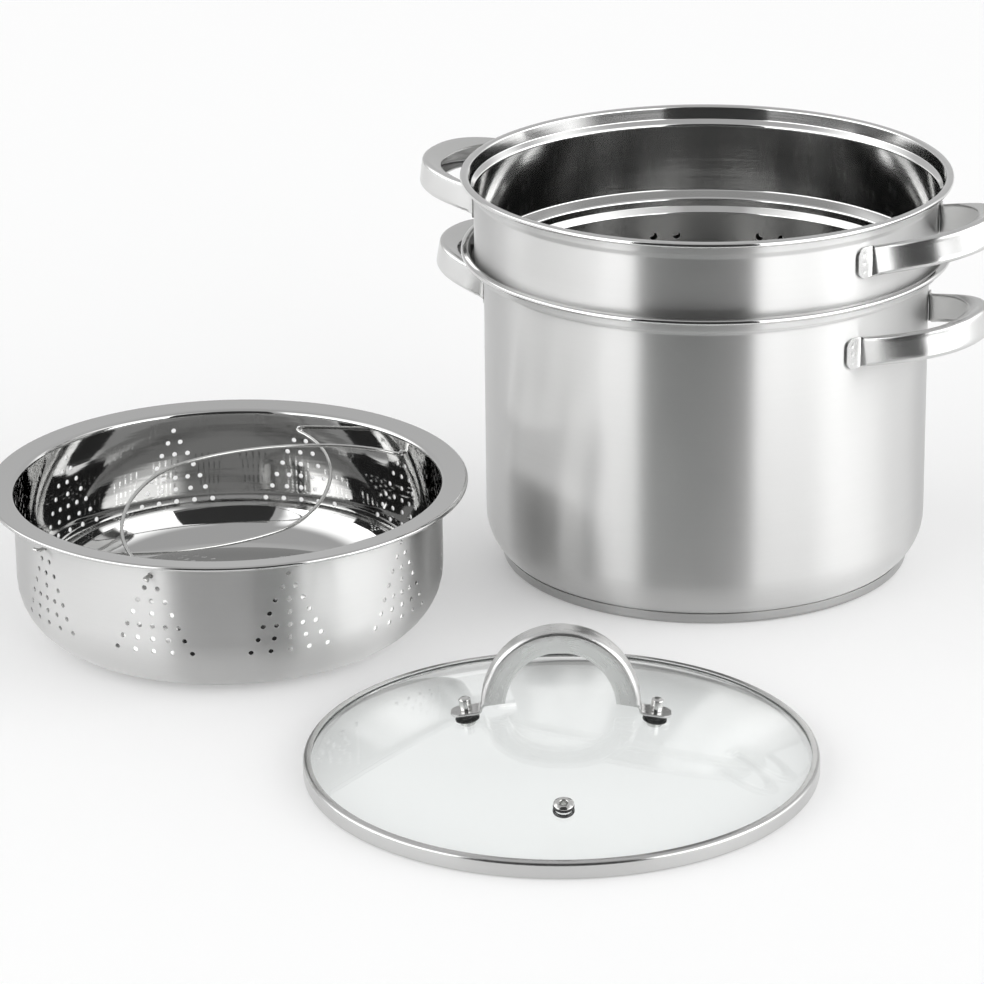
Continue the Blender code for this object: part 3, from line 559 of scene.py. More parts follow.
def channel(height, depth):
    """Points across the strip's middle surface: flange, bend, web, bend, flange, as (outward, up)."""
    edge = (height - STRAP_GAUGE) / 2
    inward = max(0.0, depth - STRAP_GAUGE)
    bend = min(FLANGE_BEND, inward * 0.6)
    flat = edge - bend
    turned = flat + bend * math.pi / 2
    blank = turned + inward - bend
    bend_start = edge - FLANGE_BEND
    bend_end = bend_start + min(FLANGE_BEND * math.pi / 2, 0.45 * (blank - bend_start))
    marks = [bend_start * share for share in (0.0, 0.33, 0.66, 1.0)]
    marks += [bend_start + (bend_end - bend_start) * share for share in (0.2, 0.4, 0.6, 0.8, 1.0)]
    marks += [bend_end + (blank - bend_end) * share for share in (0.25, 0.5, 0.75, 1.0)]
    half = []
    for mark in marks:
        if mark <= flat or bend == 0.0:
            half.append((0.0, mark))
        elif mark <= turned:
            angle = (mark - flat) / bend
            half.append((bend * (math.cos(angle) - 1), flat + bend * math.sin(angle)))
        else:
            half.append((turned - bend - mark, edge - FLANGE_SLOPE * (mark - turned)))
    return [(out, -up) for out, up in reversed(half)] + half[1:]


def pressed_strap(name, stations, finish):
    """Presses a flat blank into a channel along (point, up, height, flange depth) stations."""
    across = len(channel(STRAP_HEIGHT, STRAP_FLANGE))
    bpy.ops.object.select_all(action="DESELECT")
    bpy.ops.mesh.primitive_grid_add(
        x_subdivisions=len(stations) - 1,
        y_subdivisions=across - 1,
        size=1.0,
        calc_uvs=True,
        location=(0.0, 0.0, 0.0),
    )
    thing = bpy.context.object
    thing.name = name
    thing.data.name = name
    points = [Vector(station[0]) for station in stations]
    shape = []
    for index, (point, up, height, depth) in enumerate(stations):
        before = points[max(0, index - 1)]
        after = points[min(len(points) - 1, index + 1)]
        outward = (after - before).cross(up).normalized()
        upward = up.normalized()
        shape.append([point + outward * out + upward * rise for out, rise in channel(height, depth)])
    moved = np.array([shape[column][row] for row in range(across) for column in range(len(stations))])
    thing.data.vertices.foreach_set("co", moved.astype(np.float32).ravel())
    thing.data.update()
    thing.data.materials.append(finish)
    apply(thing, "SOLIDIFY", thickness=STRAP_GAUGE, offset=0, use_even_offset=False)
    apply(thing, "BEVEL", width=0.3 * MM, segments=2, limit_method="ANGLE", angle_limit=math.radians(55))
    return thing


def dent(thing, spots):
    """Presses a column of shallow round marks at (place, outward) spots, as a spot welder does."""
    bpy.ops.object.select_all(action="DESELECT")
    bpy.ops.mesh.primitive_uv_sphere_add(
        segments=32, ring_count=24, radius=DENT_BALL, location=(0.0, 0.0, 0.0)
    )
    ball = bpy.context.object
    shape = bmesh.new()
    for place, outward in spots:
        copy = ball.data.copy()
        copy.transform(Matrix.Translation(place + outward * (DENT_BALL - DENT_DEPTH)))
        shape.from_mesh(copy)
        bpy.data.meshes.remove(copy)
    shape.to_mesh(ball.data)
    shape.free()
    apply(thing, "BOOLEAN", operation="DIFFERENCE", solver="EXACT", object=ball)
    bpy.data.objects.remove(ball)


def superellipse(half_width, reach, fullness, turn):
    """Across and outward distances of a bow, whose feet are a quarter turn either side of its middle."""
    across = math.copysign(abs(math.sin(turn)) ** (2 / fullness), turn) * half_width
    return across, max(0.0, math.cos(turn)) ** (2 / fullness) * reach


def corner_drop(past, radius):
    """How far the edge of a rounded corner has dropped, past mm into the corner of that radius in mm."""
    past = min(radius - 0.1, max(0.0, past))
    return (radius - math.sqrt(radius**2 - past**2)) * MM


def foot_curve(start, corner, end, share):
    """Point of the smooth bend from start to end that leans toward the corner."""
    return start * (1 - share) ** 2 + corner * 2 * share * (1 - share) + end * share**2


def side_handle(name, turn, tilt, wall_radius, height, finish):
    """One side handle: two tabs along the wall and a bow that stands out from it, tipped up a little."""
    radial = bearing(turn)
    across = UPRIGHT.cross(radial)
    outward = radial * math.cos(tilt) + UPRIGHT * math.sin(tilt)
    tipped = UPRIGHT * math.cos(tilt) - radial * math.sin(tilt)
    web_radius = wall_radius + STRAP_GAUGE / 2 + WALL_GAP
    foot_angle = math.asin(STRAP_HALF_WIDTH / web_radius)
    chord = web_radius * math.cos(foot_angle)
    base = UPRIGHT * height
    stations = []
    for along in TAB_STOPS:
        angle = foot_angle + along * MM / web_radius
        tall = TAB_HEIGHT - 2 * corner_drop(along - TAB_STOPS[0] + TAB_CORNER, TAB_CORNER)
        place = base + (radial * math.cos(angle) - across * math.sin(angle)) * web_radius
        stations.append((place, UPRIGHT, tall, STRAP_GAUGE))
    bow = []
    for index in range(BOW_STEPS + 1):
        swing = -math.pi / 2 + math.pi * index / BOW_STEPS
        aside, reach = superellipse(STRAP_HALF_WIDTH, STRAP_REACH, STRAP_FULLNESS, swing)
        if reach < BOW_START:
            continue
        depth = STRAP_GAUGE + (STRAP_FLANGE - STRAP_GAUGE) * math.cos(swing)
        place = base + radial * chord + across * aside + outward * reach
        bow.append((place, tipped, STRAP_HEIGHT, depth))
    corner = base + radial * chord - across * STRAP_HALF_WIDTH
    first = stations[-1]
    start, end = first[0], bow[0][0]
    for step in range(1, FOOT_STEPS):
        share = step / FOOT_STEPS
        place = foot_curve(start, corner, end, share)
        tall = STRAP_HEIGHT + (first[2] - STRAP_HEIGHT) * (1 - share)
        stations.append((place, UPRIGHT.lerp(tipped, share), tall, STRAP_GAUGE + 0.4 * MM * share))
    mirrored = []
    for place, up, tall, depth in reversed(stations):
        mirrored.append((place - across * 2 * place.dot(across), up, tall, depth))
    handle = pressed_strap(name, stations + bow + mirrored, finish)
    spots = []
    for side in (-1, 1):
        angle = side * (foot_angle + TAB_MIDDLE / web_radius)
        outward_here = radial * math.cos(angle) + across * math.sin(angle)
        for row in (-1, 0, 1):
            place = base + outward_here * (web_radius + STRAP_GAUGE / 2) + UPRIGHT * DENT_PITCH * row
            spots.append((place, outward_here))
    dent(handle, spots)
    smooth(handle, angle=45.0)
    return handle


pot_strap_finish = strap_steel("brushed_strap", tone=0.66, roughness=0.24)
insert_strap_finish = strap_steel("brushed_upper_strap", tone=0.66, roughness=0.24)
POT_STRAP_HEIGHT = POT_TOP - 31.2 * MM
POT_STRAP_TILT = 11.0
INSERT_STRAP_HEIGHT = INSERT_TOP - 21.9 * MM
STRAP_TURNS = (("right", -31.0, -30.8, 14.0), ("left", 148.2, 151.7, 8.0))
for side, pot_turn, insert_turn, insert_tilt in STRAP_TURNS:
    pot_handle = side_handle(
        f"pot_{side}_strap",
        math.radians(pot_turn),
        math.radians(POT_STRAP_TILT),
        POT_RADIUS,
        POT_STRAP_HEIGHT,
        pot_strap_finish,
    )
    settle(pot_handle, "pot", "handle_steel", f"pot_handle_{side}")
    insert_handle = side_handle(
        f"insert_{side}_strap",
        math.radians(insert_turn),
        math.radians(insert_tilt),
        upper_radius,
        INSERT_STRAP_HEIGHT,
        insert_strap_finish,
    )
    settle(insert_handle, "insert", "handle_steel", f"insert_handle_{side}")


# Steamer basket
# A shallow bowl with a wide flat lip, brushed outside and mirror bright inside. Steam comes in through
# ten triangles of small holes.
BASKET_PLACE = (-257.5 * MM, -98.2 * MM)
BASKET_TOP = 81.0 * MM
BASKET_SHEET = 0.7 * MM
basket_lip = SEAT_RADIUS - 0.4 * MM
basket_radius = basket_lip - 13.8 * MM
basket_path = with_bends(
    [
        (basket_lip - BASKET_SHEET * 1.2, BASKET_TOP - 2.2 * MM, 0),
        (basket_lip - BASKET_SHEET, BASKET_TOP - 1.3 * MM, 0.5 * MM),
        (basket_lip - 1.2 * MM, BASKET_TOP - 0.2 * MM - BASKET_SHEET, 0.6 * MM),
        (basket_radius, BASKET_TOP - BASKET_SHEET - 1.5 * MM, 2.2 * MM),
        (basket_radius, 0.0, 33.0 * MM),
        (0.0, 0.0, 0),
    ]
)
BASKET_POLISH = dict(tone=0.58, roughness=0.045, spread=0.2, lines=1.2, sway=0.006, ripple=0.008)
basket_outside = turned_steel("brushed_basket_wall", BASKET_PLACE, **WALL_BRUSHING)
basket_inside = turned_steel("mirror_basket_inside", BASKET_PLACE, **BASKET_POLISH)
basket_body = spin("steamer_basket", basket_path, BASKET_PLACE, inward=True)
sheet_wall(basket_body, BASKET_SHEET, (basket_outside, basket_inside))
STEAM_CLUSTERS = 10
STEAM_TURN = math.radians(-107.25)
STEAM_ROWS = ((1, 7.0), (2, 7.0), (3, 7.4), (3, 10.5), (5, 7.0), (5, 8.4), (5, 10.3))
STEAM_ROW_STEP = 6.95 * MM
STEAM_RADIUS = 1.35 * MM
HOOK_RADIUS = 1.7 * MM
HOOK_CLUSTERS = (0, 4, 5, 9)
hook_height = BASKET_TOP - 11.4 * MM
basket_holes = []
for cluster in range(STEAM_CLUSTERS):
    middle_turn = STEAM_TURN + math.tau * cluster / STEAM_CLUSTERS
    for row, (count, spacing) in enumerate(STEAM_ROWS):
        radius = HOOK_RADIUS if row == 0 and cluster in HOOK_CLUSTERS else STEAM_RADIUS
        for number in range(count):
            turn = middle_turn + (number - (count - 1) / 2) * spacing * MM / basket_radius
            outward = bearing(turn)
            place = Vector((*BASKET_PLACE, hook_height - STEAM_ROW_STEP * row)) + outward * basket_radius
            basket_holes.append((place, outward, radius))
smooth_spun(basket_body)
basket_plain = basket_body.copy()
basket_plain.data = basket_body.data.copy()
pierce(basket_body, basket_holes, sides=16, length=5.0 * MM)
smooth(basket_body)
keep_gloss(basket_body, basket_plain)
settle(basket_body, "basket", "mirror_steel", "basket_body")


# Bails
# Two stainless wires that lift the basket out. Each is bent to a bow, hooked into two of the basket's
# top holes and folded inward over the bowl.
BAIL_WIRE = 2.0 * MM
BAIL_DEPTH = 77.0 * MM
BAIL_FULLNESS = 1.67
BAIL_STEPS = 96
BAIL_SWING = math.radians(86.6)
BAIL_HALF_ANGLE = math.radians(72.0)
HOOK_LENGTH = 5.5 * MM
wire_finish, wire_shader, wire_point = new_finish(
    "drawn_wire", Base_Color=(0.60, 0.60, 0.59, 1.0), Metallic=1.0, Roughness=0.18
)
wire_grain = noise(wire_point, 700.0)
(wire_grain * 0.12 + 0.12).feed(wire_shader, "Roughness")
wire_relief = wire_grain * 0.004
bend_light(wire_relief, wire_shader)


def bail(name, first_cluster, lift):
    """Bends one wire: a hooked end, the bow, and the other hooked end."""
    facing = STEAM_TURN + math.tau * first_cluster / STEAM_CLUSTERS + BAIL_HALF_ANGLE
    middle = basket_radius - BASKET_SHEET / 2
    hole = middle * math.sin(BAIL_HALF_ANGLE)
    reach = hole - 3.5 * MM
    far = hole + HOOK_LENGTH
    start = reach + 1.2 * MM
    end = [
        (far, -3.0 * MM),
        (far, -2.0 * MM),
        (far - 0.2 * MM, -0.8 * MM),
        (far - 0.8 * MM, -0.2 * MM),
        (far - 2.0 * MM, 0.0),
        (start + 1.2 * MM, 0.0),
        (start + 0.4 * MM, 0.06 * MM),
        (start - 0.4 * MM, 0.35 * MM),
    ]
    bow = []
    for index in range(BAIL_STEPS + 1):
        swing = BAIL_SWING * (1 - 2 * index / BAIL_STEPS)
        bow.append(superellipse(reach, BAIL_DEPTH, BAIL_FULLNESS, swing))
    path = end + bow + [(-aside, forward) for aside, forward in reversed(end)]
    curve = bpy.data.curves.new(name, "CURVE")
    curve.dimensions = "3D"
    curve.bevel_depth = BAIL_WIRE / 2
    curve.bevel_resolution = 5
    curve.use_fill_caps = True
    spline = curve.splines.new("POLY")
    spline.points.add(len(path) - 1)
    for point, (aside, forward) in zip(spline.points, path):
        point.co = (aside, forward, 0.0, 1.0)
    thing = bpy.data.objects.new(name, curve)
    bpy.context.scene.collection.objects.link(thing)
    toward_wall = bearing(facing)
    along = UPRIGHT.cross(toward_wall)
    hinge = Vector((*BASKET_PLACE, hook_height)) + toward_wall * middle * math.cos(BAIL_HALF_ANGLE)
    placing = Matrix((along, UPRIGHT.cross(along), UPRIGHT)).transposed().to_4x4()
    placing.translation = hinge
    thing.matrix_world = placing @ Matrix.Rotation(lift, 4, "X")
    pick(thing)
    bpy.ops.object.convert(target="MESH")
    thing = bpy.context.object
    bpy.ops.object.transform_apply(location=True, rotation=True, scale=True)
    bpy.ops.object.mode_set(mode="EDIT")
    bpy.ops.mesh.select_all(action="SELECT")
    bpy.ops.mesh.remove_doubles(threshold=MERGE)
    bpy.ops.object.mode_set(mode="OBJECT")
    thing.data.materials.clear()
    thing.data.materials.append(wire_finish)
    smooth(thing, angle=50.0)
    return thing


BAIL_LIFTS = (("upper", 0, 6.0), ("lower", 5, -4.8))
for side, first_cluster, lift in BAIL_LIFTS:
    wire = bail(f"{side}_wire_bail", first_cluster, math.radians(lift))
    settle(wire, f"bail_{side}", "mirror_steel", f"bail_{side}")


# Lid glass
# A dome of toughened glass, 3.6 mm thick, pressed in a mould. It is bored for the two handle fixings
# and the vent.
LID_PLACE = (-85.0 * MM, -291.2 * MM)
LID_TURN = math.radians(-2.3)
LID_RADIUS = SEAT_RADIUS - 0.4 * MM
BAND_HEIGHT = 8.5 * MM
BAND_GAUGE = 0.7 * MM
GLASS_GAUGE = 3.6 * MM
GLASS_RISE = 23.5 * MM
DOME_RINGS = 36
SCREW_BORE = 2.8 * MM
VENT_BORE = 4.4 * MM
glass_radius = LID_RADIUS - BAND_GAUGE - 0.3 * MM
dome_radius = glass_radius - 3.6 * MM
glass_edge_top = BAND_HEIGHT - BAND_GAUGE - 0.3 * MM
post_distance = 46.2 * MM
vent_distance = glass_radius - 38.6 * MM
vent_turn = math.radians(-90.3)


def glass_height(distance):
    """Height of the glass's upper face at a distance from the lid's axis."""
    return glass_edge_top + GLASS_RISE * (1 - (min(distance, dome_radius) / dome_radius) ** 2)


def glass_seat(distance, turn):
    """A frame on the glass's upper face: Z stands out of the glass and X points away from the axis."""
    fall = 2 * GLASS_RISE * distance / dome_radius**2
    radial = bearing(turn)
    up = Vector((radial.x * fall, radial.y * fall, 1.0)).normalized()
    side = up.cross(radial).normalized()
    placing = Matrix((side.cross(up), side, up)).transposed().to_4x4()
    placing.translation = Vector((*LID_PLACE, glass_height(distance))) + radial * distance
    return placing


glass_finish, glass_shader, glass_point = new_finish(
    "toughened_glass",
    Base_Color=(0.97, 0.985, 0.98, 1.0),
    Roughness=0.0,
    IOR=1.44,
    Transmission_Weight=1.0,
)
smudge = noise(glass_point, 22.0, 3.0, 0.6)
(smudge.step(0.5, 0.9) * 0.03).feed(glass_shader, "Roughness")
glass_wave = noise(glass_point, 14.0, 1.0, 0.4)
glass_relief = glass_wave * 0.02
bend_light(glass_relief, glass_shader)
clear = glass_point.add("ShaderNodeBsdfTransparent", Color=(0.96, 0.98, 0.97, 1.0))
shadow_ray = glass_point.add("ShaderNodeLightPath", output=1)
glass_surface = Wire(glass_shader.outputs["BSDF"])
passing = shadow_ray.add("ShaderNodeMixShader", slot_0=shadow_ray, slot_1=glass_surface, slot_2=clear)
passing.feed(glass_finish.node_tree.nodes["Material Output"], "Surface")
distances = [dome_radius * ring / DOME_RINGS for ring in range(DOME_RINGS + 1)]
upper_face = [(distance, glass_height(distance)) for distance in distances]
lower_face = [(distance, height - GLASS_GAUGE) for distance, height in reversed(upper_face)]
glass_rim = with_bends(
    [
        (dome_radius, glass_edge_top, 0),
        (glass_radius, glass_edge_top, 1.2 * MM),
        (glass_radius, glass_edge_top - GLASS_GAUGE, 1.2 * MM),
        (dome_radius, glass_edge_top - GLASS_GAUGE, 0),
    ]
)
glass_path = [Vector(point) for point in upper_face] + glass_rim[1:-1]
glass_path += [Vector(point) for point in lower_face]
lid_glass = spin("lid_dome", glass_path, LID_PLACE)
lid_glass.data.materials.append(glass_finish)
bores = [(glass_seat(post_distance, LID_TURN + side * math.pi), SCREW_BORE) for side in (0, 1)]
bores.append((glass_seat(vent_distance, vent_turn), VENT_BORE))
glass_holes = [(seat.translation, seat.col[2][:3], radius) for seat, radius in bores]
pierce(lid_glass, glass_holes, sides=32, length=20.0 * MM)
smooth(lid_glass)
settle(lid_glass, "lid", "tempered_glass", "lid_glass")


# Lid band
# A thin steel channel is rolled over the glass's edge all round. It protects the glass and seats the
# lid on a rim.
BAND_BRUSHING = dict(tone=0.60, roughness=0.22, spread=0.8, lines=0.4, sway=0.02, ripple=0.004)
band_finish = turned_steel("brushed_lid_band", LID_PLACE, **BAND_BRUSHING)
band_toe = LID_RADIUS - 4.0 * MM
band_tip = glass_edge_top - GLASS_GAUGE - 0.3 * MM - BAND_GAUGE
band_path = with_bends(
    [
        (band_toe, BAND_HEIGHT, 0),
        (LID_RADIUS - 0.02 * MM, BAND_HEIGHT, 2.0 * MM),
        (LID_RADIUS - 0.02 * MM, 0.0, 1.6 * MM),
        (LID_RADIUS - 2.5 * MM, 0.0, 1.0 * MM),
        (band_toe, band_tip, 0),
    ]
)
lid_band = spin("lid_rim_band", band_path, LID_PLACE)
sheet_wall(lid_band, BAND_GAUGE, (band_finish,), edge=0.2 * MM)
smooth_spun(lid_band)
settle(lid_band, "lid", "mirror_steel", "lid_band")


# Lid handle
# The same pressed steel strip as the side handles', bent up into an arch. Its two tabs lie along the
# glass on black gaskets and take the screws.
ARCH_HALF_WIDTH = 38.9 * MM
ARCH_TOP = 74.2 * MM
ARCH_FULLNESS = 2.05
ARCH_HEIGHT = 13.0 * MM
ARCH_FLANGE = 12.5 * MM
ARCH_STEPS = 72
ARCH_TAB_STOPS = (14.8, 14.7, 14.4, 13.8, 13.0, 12.0, 10.8, 9.0, 7.0, 5.0, 3.0)
ARCH_TAB_CORNER = 4.6
ARCH_FLANGE_END = math.radians(85.2)
ARCH_FLANGE_RUN = math.radians(2.6)
TAB_HOLE = 2.4 * MM
GASKET = 1.2 * MM
tab_lift = GASKET + 0.25 * MM + STRAP_GAUGE / 2
lid_across = bearing(LID_TURN)
lid_sideways = UPRIGHT.cross(lid_across)
lid_middle = Vector((*LID_PLACE, 0.0))
arch_foot = (glass_seat(ARCH_HALF_WIDTH, LID_TURN) @ Vector((0.0, 0.0, tab_lift))).z
arch_bend = 1.6 * MM
half_arch = []
for along in ARCH_TAB_STOPS:
    seat = glass_seat(ARCH_HALF_WIDTH + along * MM, LID_TURN + math.pi)
    tall = ARCH_HEIGHT - 2 * corner_drop(along - ARCH_TAB_STOPS[0] + ARCH_TAB_CORNER, ARCH_TAB_CORNER)
    half_arch.append((seat @ Vector((0.0, 0.0, tab_lift)), lid_sideways, tall, STRAP_GAUGE))
arch_bow = []
arch_reach = ARCH_TOP - STRAP_GAUGE / 2 - arch_foot
for index in range(ARCH_STEPS + 1):
    swing = -math.pi / 2 + math.pi * index / ARCH_STEPS
    aside, rise = superellipse(ARCH_HALF_WIDTH, arch_reach, ARCH_FULLNESS, swing)
    if rise < arch_bend:
        continue
    run_out = min(1.0, max(0.0, (ARCH_FLANGE_END - abs(swing)) / ARCH_FLANGE_RUN))
    depth = STRAP_GAUGE + (ARCH_FLANGE - STRAP_GAUGE) * math.sin(run_out * math.pi / 2)
    place = lid_middle + lid_across * aside + Vector((0.0, 0.0, arch_foot + rise))
    arch_bow.append((place, lid_sideways, ARCH_HEIGHT, depth))
arch_corner = lid_middle - lid_across * ARCH_HALF_WIDTH + Vector((0.0, 0.0, arch_foot))
arch_start, arch_end = half_arch[-1][0], arch_bow[0][0]
for step in range(1, FOOT_STEPS):
    place = foot_curve(arch_start, arch_corner, arch_end, step / FOOT_STEPS)
    half_arch.append((place, lid_sideways, ARCH_HEIGHT, STRAP_GAUGE))
other_half = []
for place, up, tall, depth in reversed(half_arch):
    other_half.append((place - lid_across * 2 * (place - lid_middle).dot(lid_across), up, tall, depth))
arch_finish = strap_steel("brushed_arch", tone=0.66, roughness=0.28)
lid_arch = pressed_strap("lid_arch_handle", half_arch + arch_bow + other_half, arch_finish)
tab_holes = [(seat.translation, seat.col[2][:3], TAB_HOLE) for seat, radius in bores[:2]]
pierce(lid_arch, tab_holes, sides=24, length=12.0 * MM)
smooth(lid_arch, angle=45.0)
settle(lid_arch, "lid", "handle_steel", "lid_handle")


# Handle fixings
# A steel screw comes up through washer, gasket, glass, gasket and tab, and a small turned cap nut
# holds it. The gaskets are black silicone.
rubber_finish, rubber_shader, rubber_point = new_finish(
    "black_silicone_rubber", Base_Color=(0.018, 0.018, 0.018, 1.0), Roughness=0.5
)
rubber_grain = noise(rubber_point, 1600.0)
(rubber_grain * 0.2 + 0.38).feed(rubber_shader, "Roughness")
rubber_relief = rubber_grain * 0.02
bend_light(rubber_relief, rubber_shader)
nut_finish, nut_shader, nut_point = new_finish(
    "polished_nut", Base_Color=(0.66, 0.66, 0.65, 1.0), Metallic=1.0, Roughness=0.1
)
nut_grain = noise(nut_point, 900.0)
(nut_grain * 0.08 + 0.06).feed(nut_shader, "Roughness")


NUT_RADIUS = 3.0 * MM
SCREW_RADIUS = 2.0 * MM
HEAD_RADIUS = 3.8 * MM
GASKET_RADIUS = 6.0 * MM
WASHER_RADIUS = 4.4 * MM
FITTING_STEPS = 48


def fitting(name, profile, seat, finish, slot, replaced, closed=False):
    """Spins a small fitting upright at the origin, then sets it on its seat on the glass."""
    path = with_bends(profile + profile[:1])[:-1] if closed else with_bends(profile)
    thing = spin(name, path, steps=FITTING_STEPS, closed=closed)
    thing.data.materials.append(finish)
    pick(thing)
    thing.matrix_world = seat
    bpy.ops.object.transform_apply(location=True, rotation=True, scale=True)
    smooth(thing, angle=50.0)
    settle(thing, "lid", slot, replaced)


def flat_ring(inner, outer, low, high, edge):
    """Closed section of a ring with rounded outer edges."""
    return [
        (inner, (low + high) / 2, 0),
        (inner, high, 0),
        (outer, high, edge),
        (outer, low, edge),
        (inner, low, 0),
    ]


glass_low = -GLASS_GAUGE / math.hypot(1, 2 * GLASS_RISE * post_distance / dome_radius**2)
seat_height = GASKET + 0.35 * MM + STRAP_GAUGE
nut_top = seat_height + 6.6 * MM
gasket_low = glass_low - 1.2 * MM
washer_low = gasket_low - 0.8 * MM
head_low = washer_low - 1.8 * MM
for side, (seat, radius) in zip(("right", "left"), bores):
    nut = [
        (0.0, nut_top, 0),
        (2.0 * MM, nut_top - 0.25 * MM, 1.0 * MM),
        (NUT_RADIUS, nut_top - 1.0 * MM, 0.6 * MM),
        (NUT_RADIUS, seat_height, 0.2 * MM),
        (TAB_HOLE, seat_height, 0),
        (TAB_HOLE, nut_top - 1.4 * MM, 0),
        (0.0, nut_top - 1.4 * MM, 0),
    ]
    screw = [
        (0.0, nut_top - 1.8 * MM, 0),
        (SCREW_RADIUS, nut_top - 1.8 * MM, 0),
        (SCREW_RADIUS, washer_low - 0.2 * MM, 0),
        (HEAD_RADIUS, washer_low - 0.2 * MM, 0.2 * MM),
        (HEAD_RADIUS, head_low + 0.6 * MM, 0.4 * MM),
        (3.2 * MM, head_low, 0.4 * MM),
        (0.0, head_low, 0),
    ]
    steel = (seat, nut_finish, "satin_steel")
    rubber = (seat, rubber_finish, "black_silicone")
    fitting(f"{side}_cap_nut", nut, seat, nut_finish, "mirror_steel", f"cap_nut_{side}")
    fitting(f"{side}_handle_screw", screw, *steel, f"handle_screw_{side}")
    upper_ring = flat_ring(TAB_HOLE, GASKET_RADIUS, 0.1 * MM, 0.15 * MM + GASKET, 0.4 * MM)
    fitting(f"{side}_upper_gasket_ring", upper_ring, *rubber, f"upper_gasket_{side}", closed=True)
    lower_ring = flat_ring(TAB_HOLE, GASKET_RADIUS, gasket_low, glass_low - 0.1 * MM, 0.4 * MM)
    fitting(f"{side}_lower_gasket_ring", lower_ring, *rubber, f"lower_gasket_{side}", closed=True)
    washer_ring = flat_ring(TAB_HOLE, WASHER_RADIUS, washer_low, gasket_low - 0.1 * MM, 0.2 * MM)
    fitting(f"{side}_plain_washer", washer_ring, *steel, f"washer_{side}", closed=True)


# Steam vent
# A crimped steel eyelet grips the glass through a black silicone grommet. It lets steam out of the
# closed pot.
vent_seat = bores[2][0]
vent_low = -GLASS_GAUGE / math.hypot(1, 2 * GLASS_RISE * vent_distance / dome_radius**2)
grommet = [
    (3.0 * MM, 1.3 * MM, 0),
    (4.9 * MM, 1.3 * MM, 0.5 * MM),
    (5.2 * MM, 0.1 * MM, 0.2 * MM),
    (4.2 * MM, 0.1 * MM, 0),
    (4.2 * MM, vent_low - 0.1 * MM, 0),
    (5.2 * MM, vent_low - 0.1 * MM, 0.2 * MM),
    (5.2 * MM, vent_low - 1.2 * MM, 0.5 * MM),
    (3.0 * MM, vent_low - 1.2 * MM, 0),
]
rubber = (vent_seat, rubber_finish, "black_silicone")
fitting("vent_rubber_grommet", grommet, *rubber, "vent_grommet", closed=True)
eyelet = [
    (1.9 * MM, 1.0 * MM, 0),
    (1.9 * MM, 2.5 * MM, 0.6 * MM),
    (3.4 * MM, 2.9 * MM, 0.6 * MM),
    (4.9 * MM, 1.9 * MM, 0.5 * MM),
    (4.9 * MM, 1.4 * MM, 0.2 * MM),
    (2.9 * MM, 1.4 * MM, 0),
    (2.9 * MM, vent_low - 1.3 * MM, 0),
    (4.2 * MM, vent_low - 1.3 * MM, 0.2 * MM),
    (4.2 * MM, vent_low - 1.9 * MM, 0.2 * MM),
    (1.9 * MM, vent_low - 1.9 * MM, 0.2 * MM),
]
bright_steel = (vent_seat, nut_finish, "mirror_steel")
fitting("vent_steel_eyelet", eyelet, *bright_steel, "vent_eyelet", closed=True)


# Table and light
# A white table under a studio tent: a bright wall on each side, a darker gap where the camera stands,
# and a dark cloth that only shows in reflections, across the opening in front. Angles are in degrees.
bpy.ops.object.select_all(action="DESELECT")
TABLE_WIDTH = 8.0
TABLE_DEPTH = 5.0
TABLE_FRONT = -0.54
TABLE_SINK = 0.3 * MM
TABLE_GLOW = 0.25
CARD_PLACE = (-0.145, -0.86, 0.35)
CARD_SIZE = (0.91, 1.3)
TENT_GLOW = 0.56
BACK_GLOW = 0.1
WALL_GLOW = 1.25
GLARE_GLOW = 2.0
FLANK_GLOW = 1.4
UNDER_GLOW = 1.6
DARK_FOOT = 0.25
bpy.ops.mesh.primitive_plane_add(size=1.0, location=(0.0, 0.0, 0.0))
table = bpy.context.object
table.name = "white_table"
table.scale = (TABLE_WIDTH, TABLE_DEPTH, 1.0)
table.location = (0.0, TABLE_FRONT + TABLE_DEPTH / 2, -TABLE_SINK)
bpy.ops.object.transform_apply(location=True, rotation=True, scale=True)
table_finish, table_shader, table_point = new_finish(
    "white_table_top", Base_Color=(0.93, 0.93, 0.93, 1.0), Roughness=0.5
)
bright = table_point.add("ShaderNodeEmission", Color=(1.0, 1.0, 1.0, 1.0), Strength=1.0)
seen = table_point.add("ShaderNodeLightPath", output=0)
mirrored = table_point.add("ShaderNodeLightPath", output=3)
through = table_point.add("ShaderNodeLightPath", output=6)
lift = (seen + mirrored + through) * TABLE_GLOW
table_surface = Wire(table_shader.outputs["BSDF"])
lifted = lift.add("ShaderNodeMixShader", slot_0=lift, slot_1=table_surface, slot_2=bright)
lifted.feed(table_finish.node_tree.nodes["Material Output"], "Surface")
table.data.materials.append(table_finish)

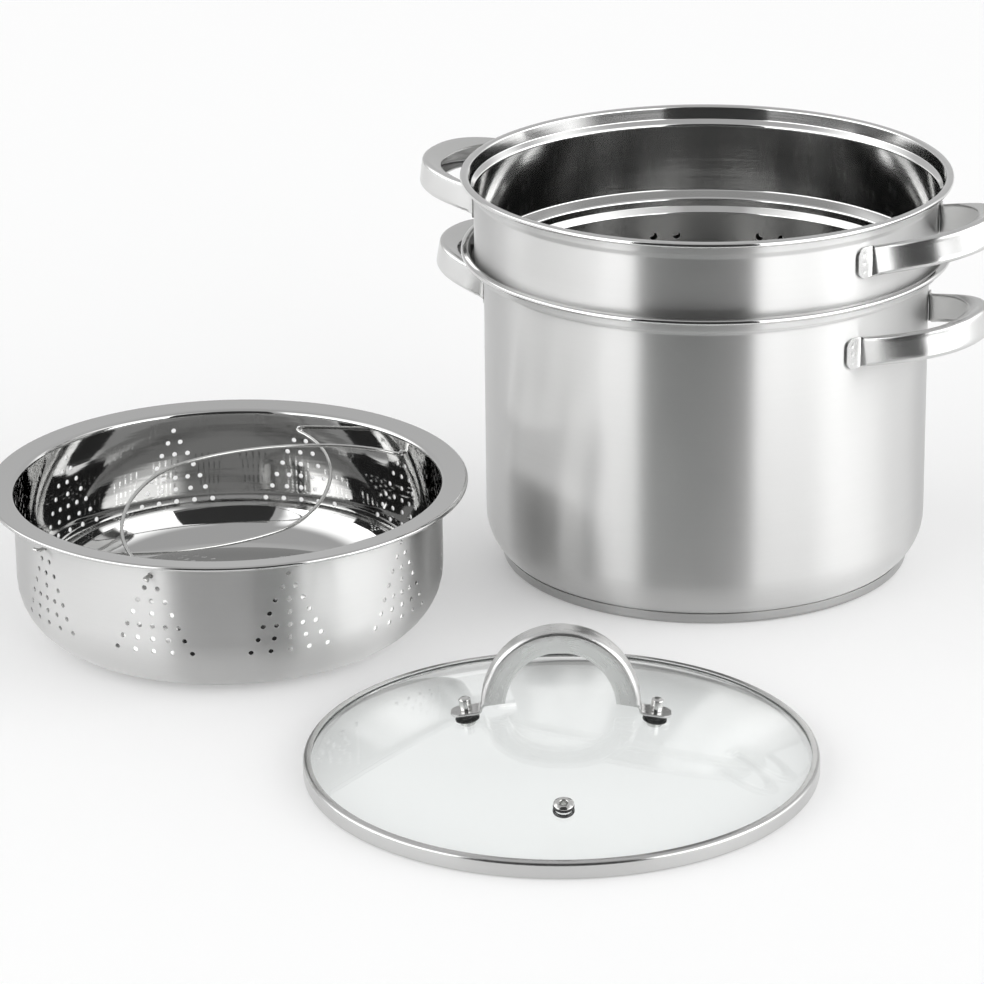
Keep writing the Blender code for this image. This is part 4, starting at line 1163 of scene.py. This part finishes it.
bpy.ops.object.select_all(action="DESELECT")
bpy.ops.mesh.primitive_plane_add(size=1.0, location=(0.0, 0.0, 0.0))
card = bpy.context.object
card.name = "dark_front_opening"
for corner in card.data.vertices:
    aside = corner.co.x * CARD_SIZE[0]
    rise = corner.co.y * CARD_SIZE[1]
    corner.co = (CARD_PLACE[0] + aside, CARD_PLACE[1], CARD_PLACE[2] + rise)
card.visible_camera = False
card.visible_diffuse = False
card.visible_shadow = False
card_finish = new_finish("dark_cloth", Base_Color=(0.03, 0.03, 0.03, 1.0), Roughness=0.9)
card.data.materials.append(card_finish[0])

world = bpy.data.worlds.new("studio_tent")
bpy.context.scene.world = world
world.use_nodes = True
background = world.node_tree.nodes["Background"]
background.inputs["Color"].default_value = (1.0, 1.0, 1.0, 1.0)
direction = Wire(world.node_tree.nodes.new("ShaderNodeTexCoord").outputs["Generated"])
east = direction.add("ShaderNodeSeparateXYZ", output=0, Vector=direction)
north = direction.add("ShaderNodeSeparateXYZ", output=1, Vector=direction)
upward = direction.add("ShaderNodeSeparateXYZ", output=2, Vector=direction)
azimuth = east.maths("ARCTAN2", east, north * -1.0) * math.degrees(1.0)
elevation = upward.maths("ARCSINE", upward) * math.degrees(1.0)


def between(angle, start, full, fade, end):
    """1 from full to fade and 0 outside start and end, with smooth edges. All are angles."""
    return angle.step(start, full) * (1.0 - angle.step(fade, end))


right_wall = between(azimuth, 10.0, 18.0, 85.0, 115.0)
left_wall = between(azimuth, -135.0, -105.0, -34.0, -26.0)
across = right_wall + left_wall
rising = across * elevation.step(6.0, 16.0)
walls = rising * (1.0 - elevation.step(40.0, 54.0))
glare = rising * (1.0 - elevation.step(18.0, 32.0))
glare = glare + across * (1.0 - elevation.step(-2.0, 0.0)) * UNDER_GLOW
behind = 1.0 - between(azimuth, -130.0, -95.0, 95.0, 130.0)
low = DARK_FOOT + (1.0 - DARK_FOOT) * elevation.step(4.0, 11.0)
flank = between(azimuth, 48.0, 70.0, 115.0, 140.0) * (1.0 - elevation.step(20.0, 34.0))
glow = (TENT_GLOW + BACK_GLOW * behind) * (low + (1.0 - low) * behind)
glow = glow + walls * WALL_GLOW + glare * GLARE_GLOW + flank * FLANK_GLOW
plain_view = direction.add("ShaderNodeLightPath", output=0)
glass_view = direction.add("ShaderNodeLightPath", output=6)
plain = plain_view.maths("MAXIMUM", plain_view, glass_view)
glow = glow * (1.0 - plain) + plain
glow.feed(background, "Strength")

scene = bpy.context.scene
scene.view_settings.view_transform = "Standard"
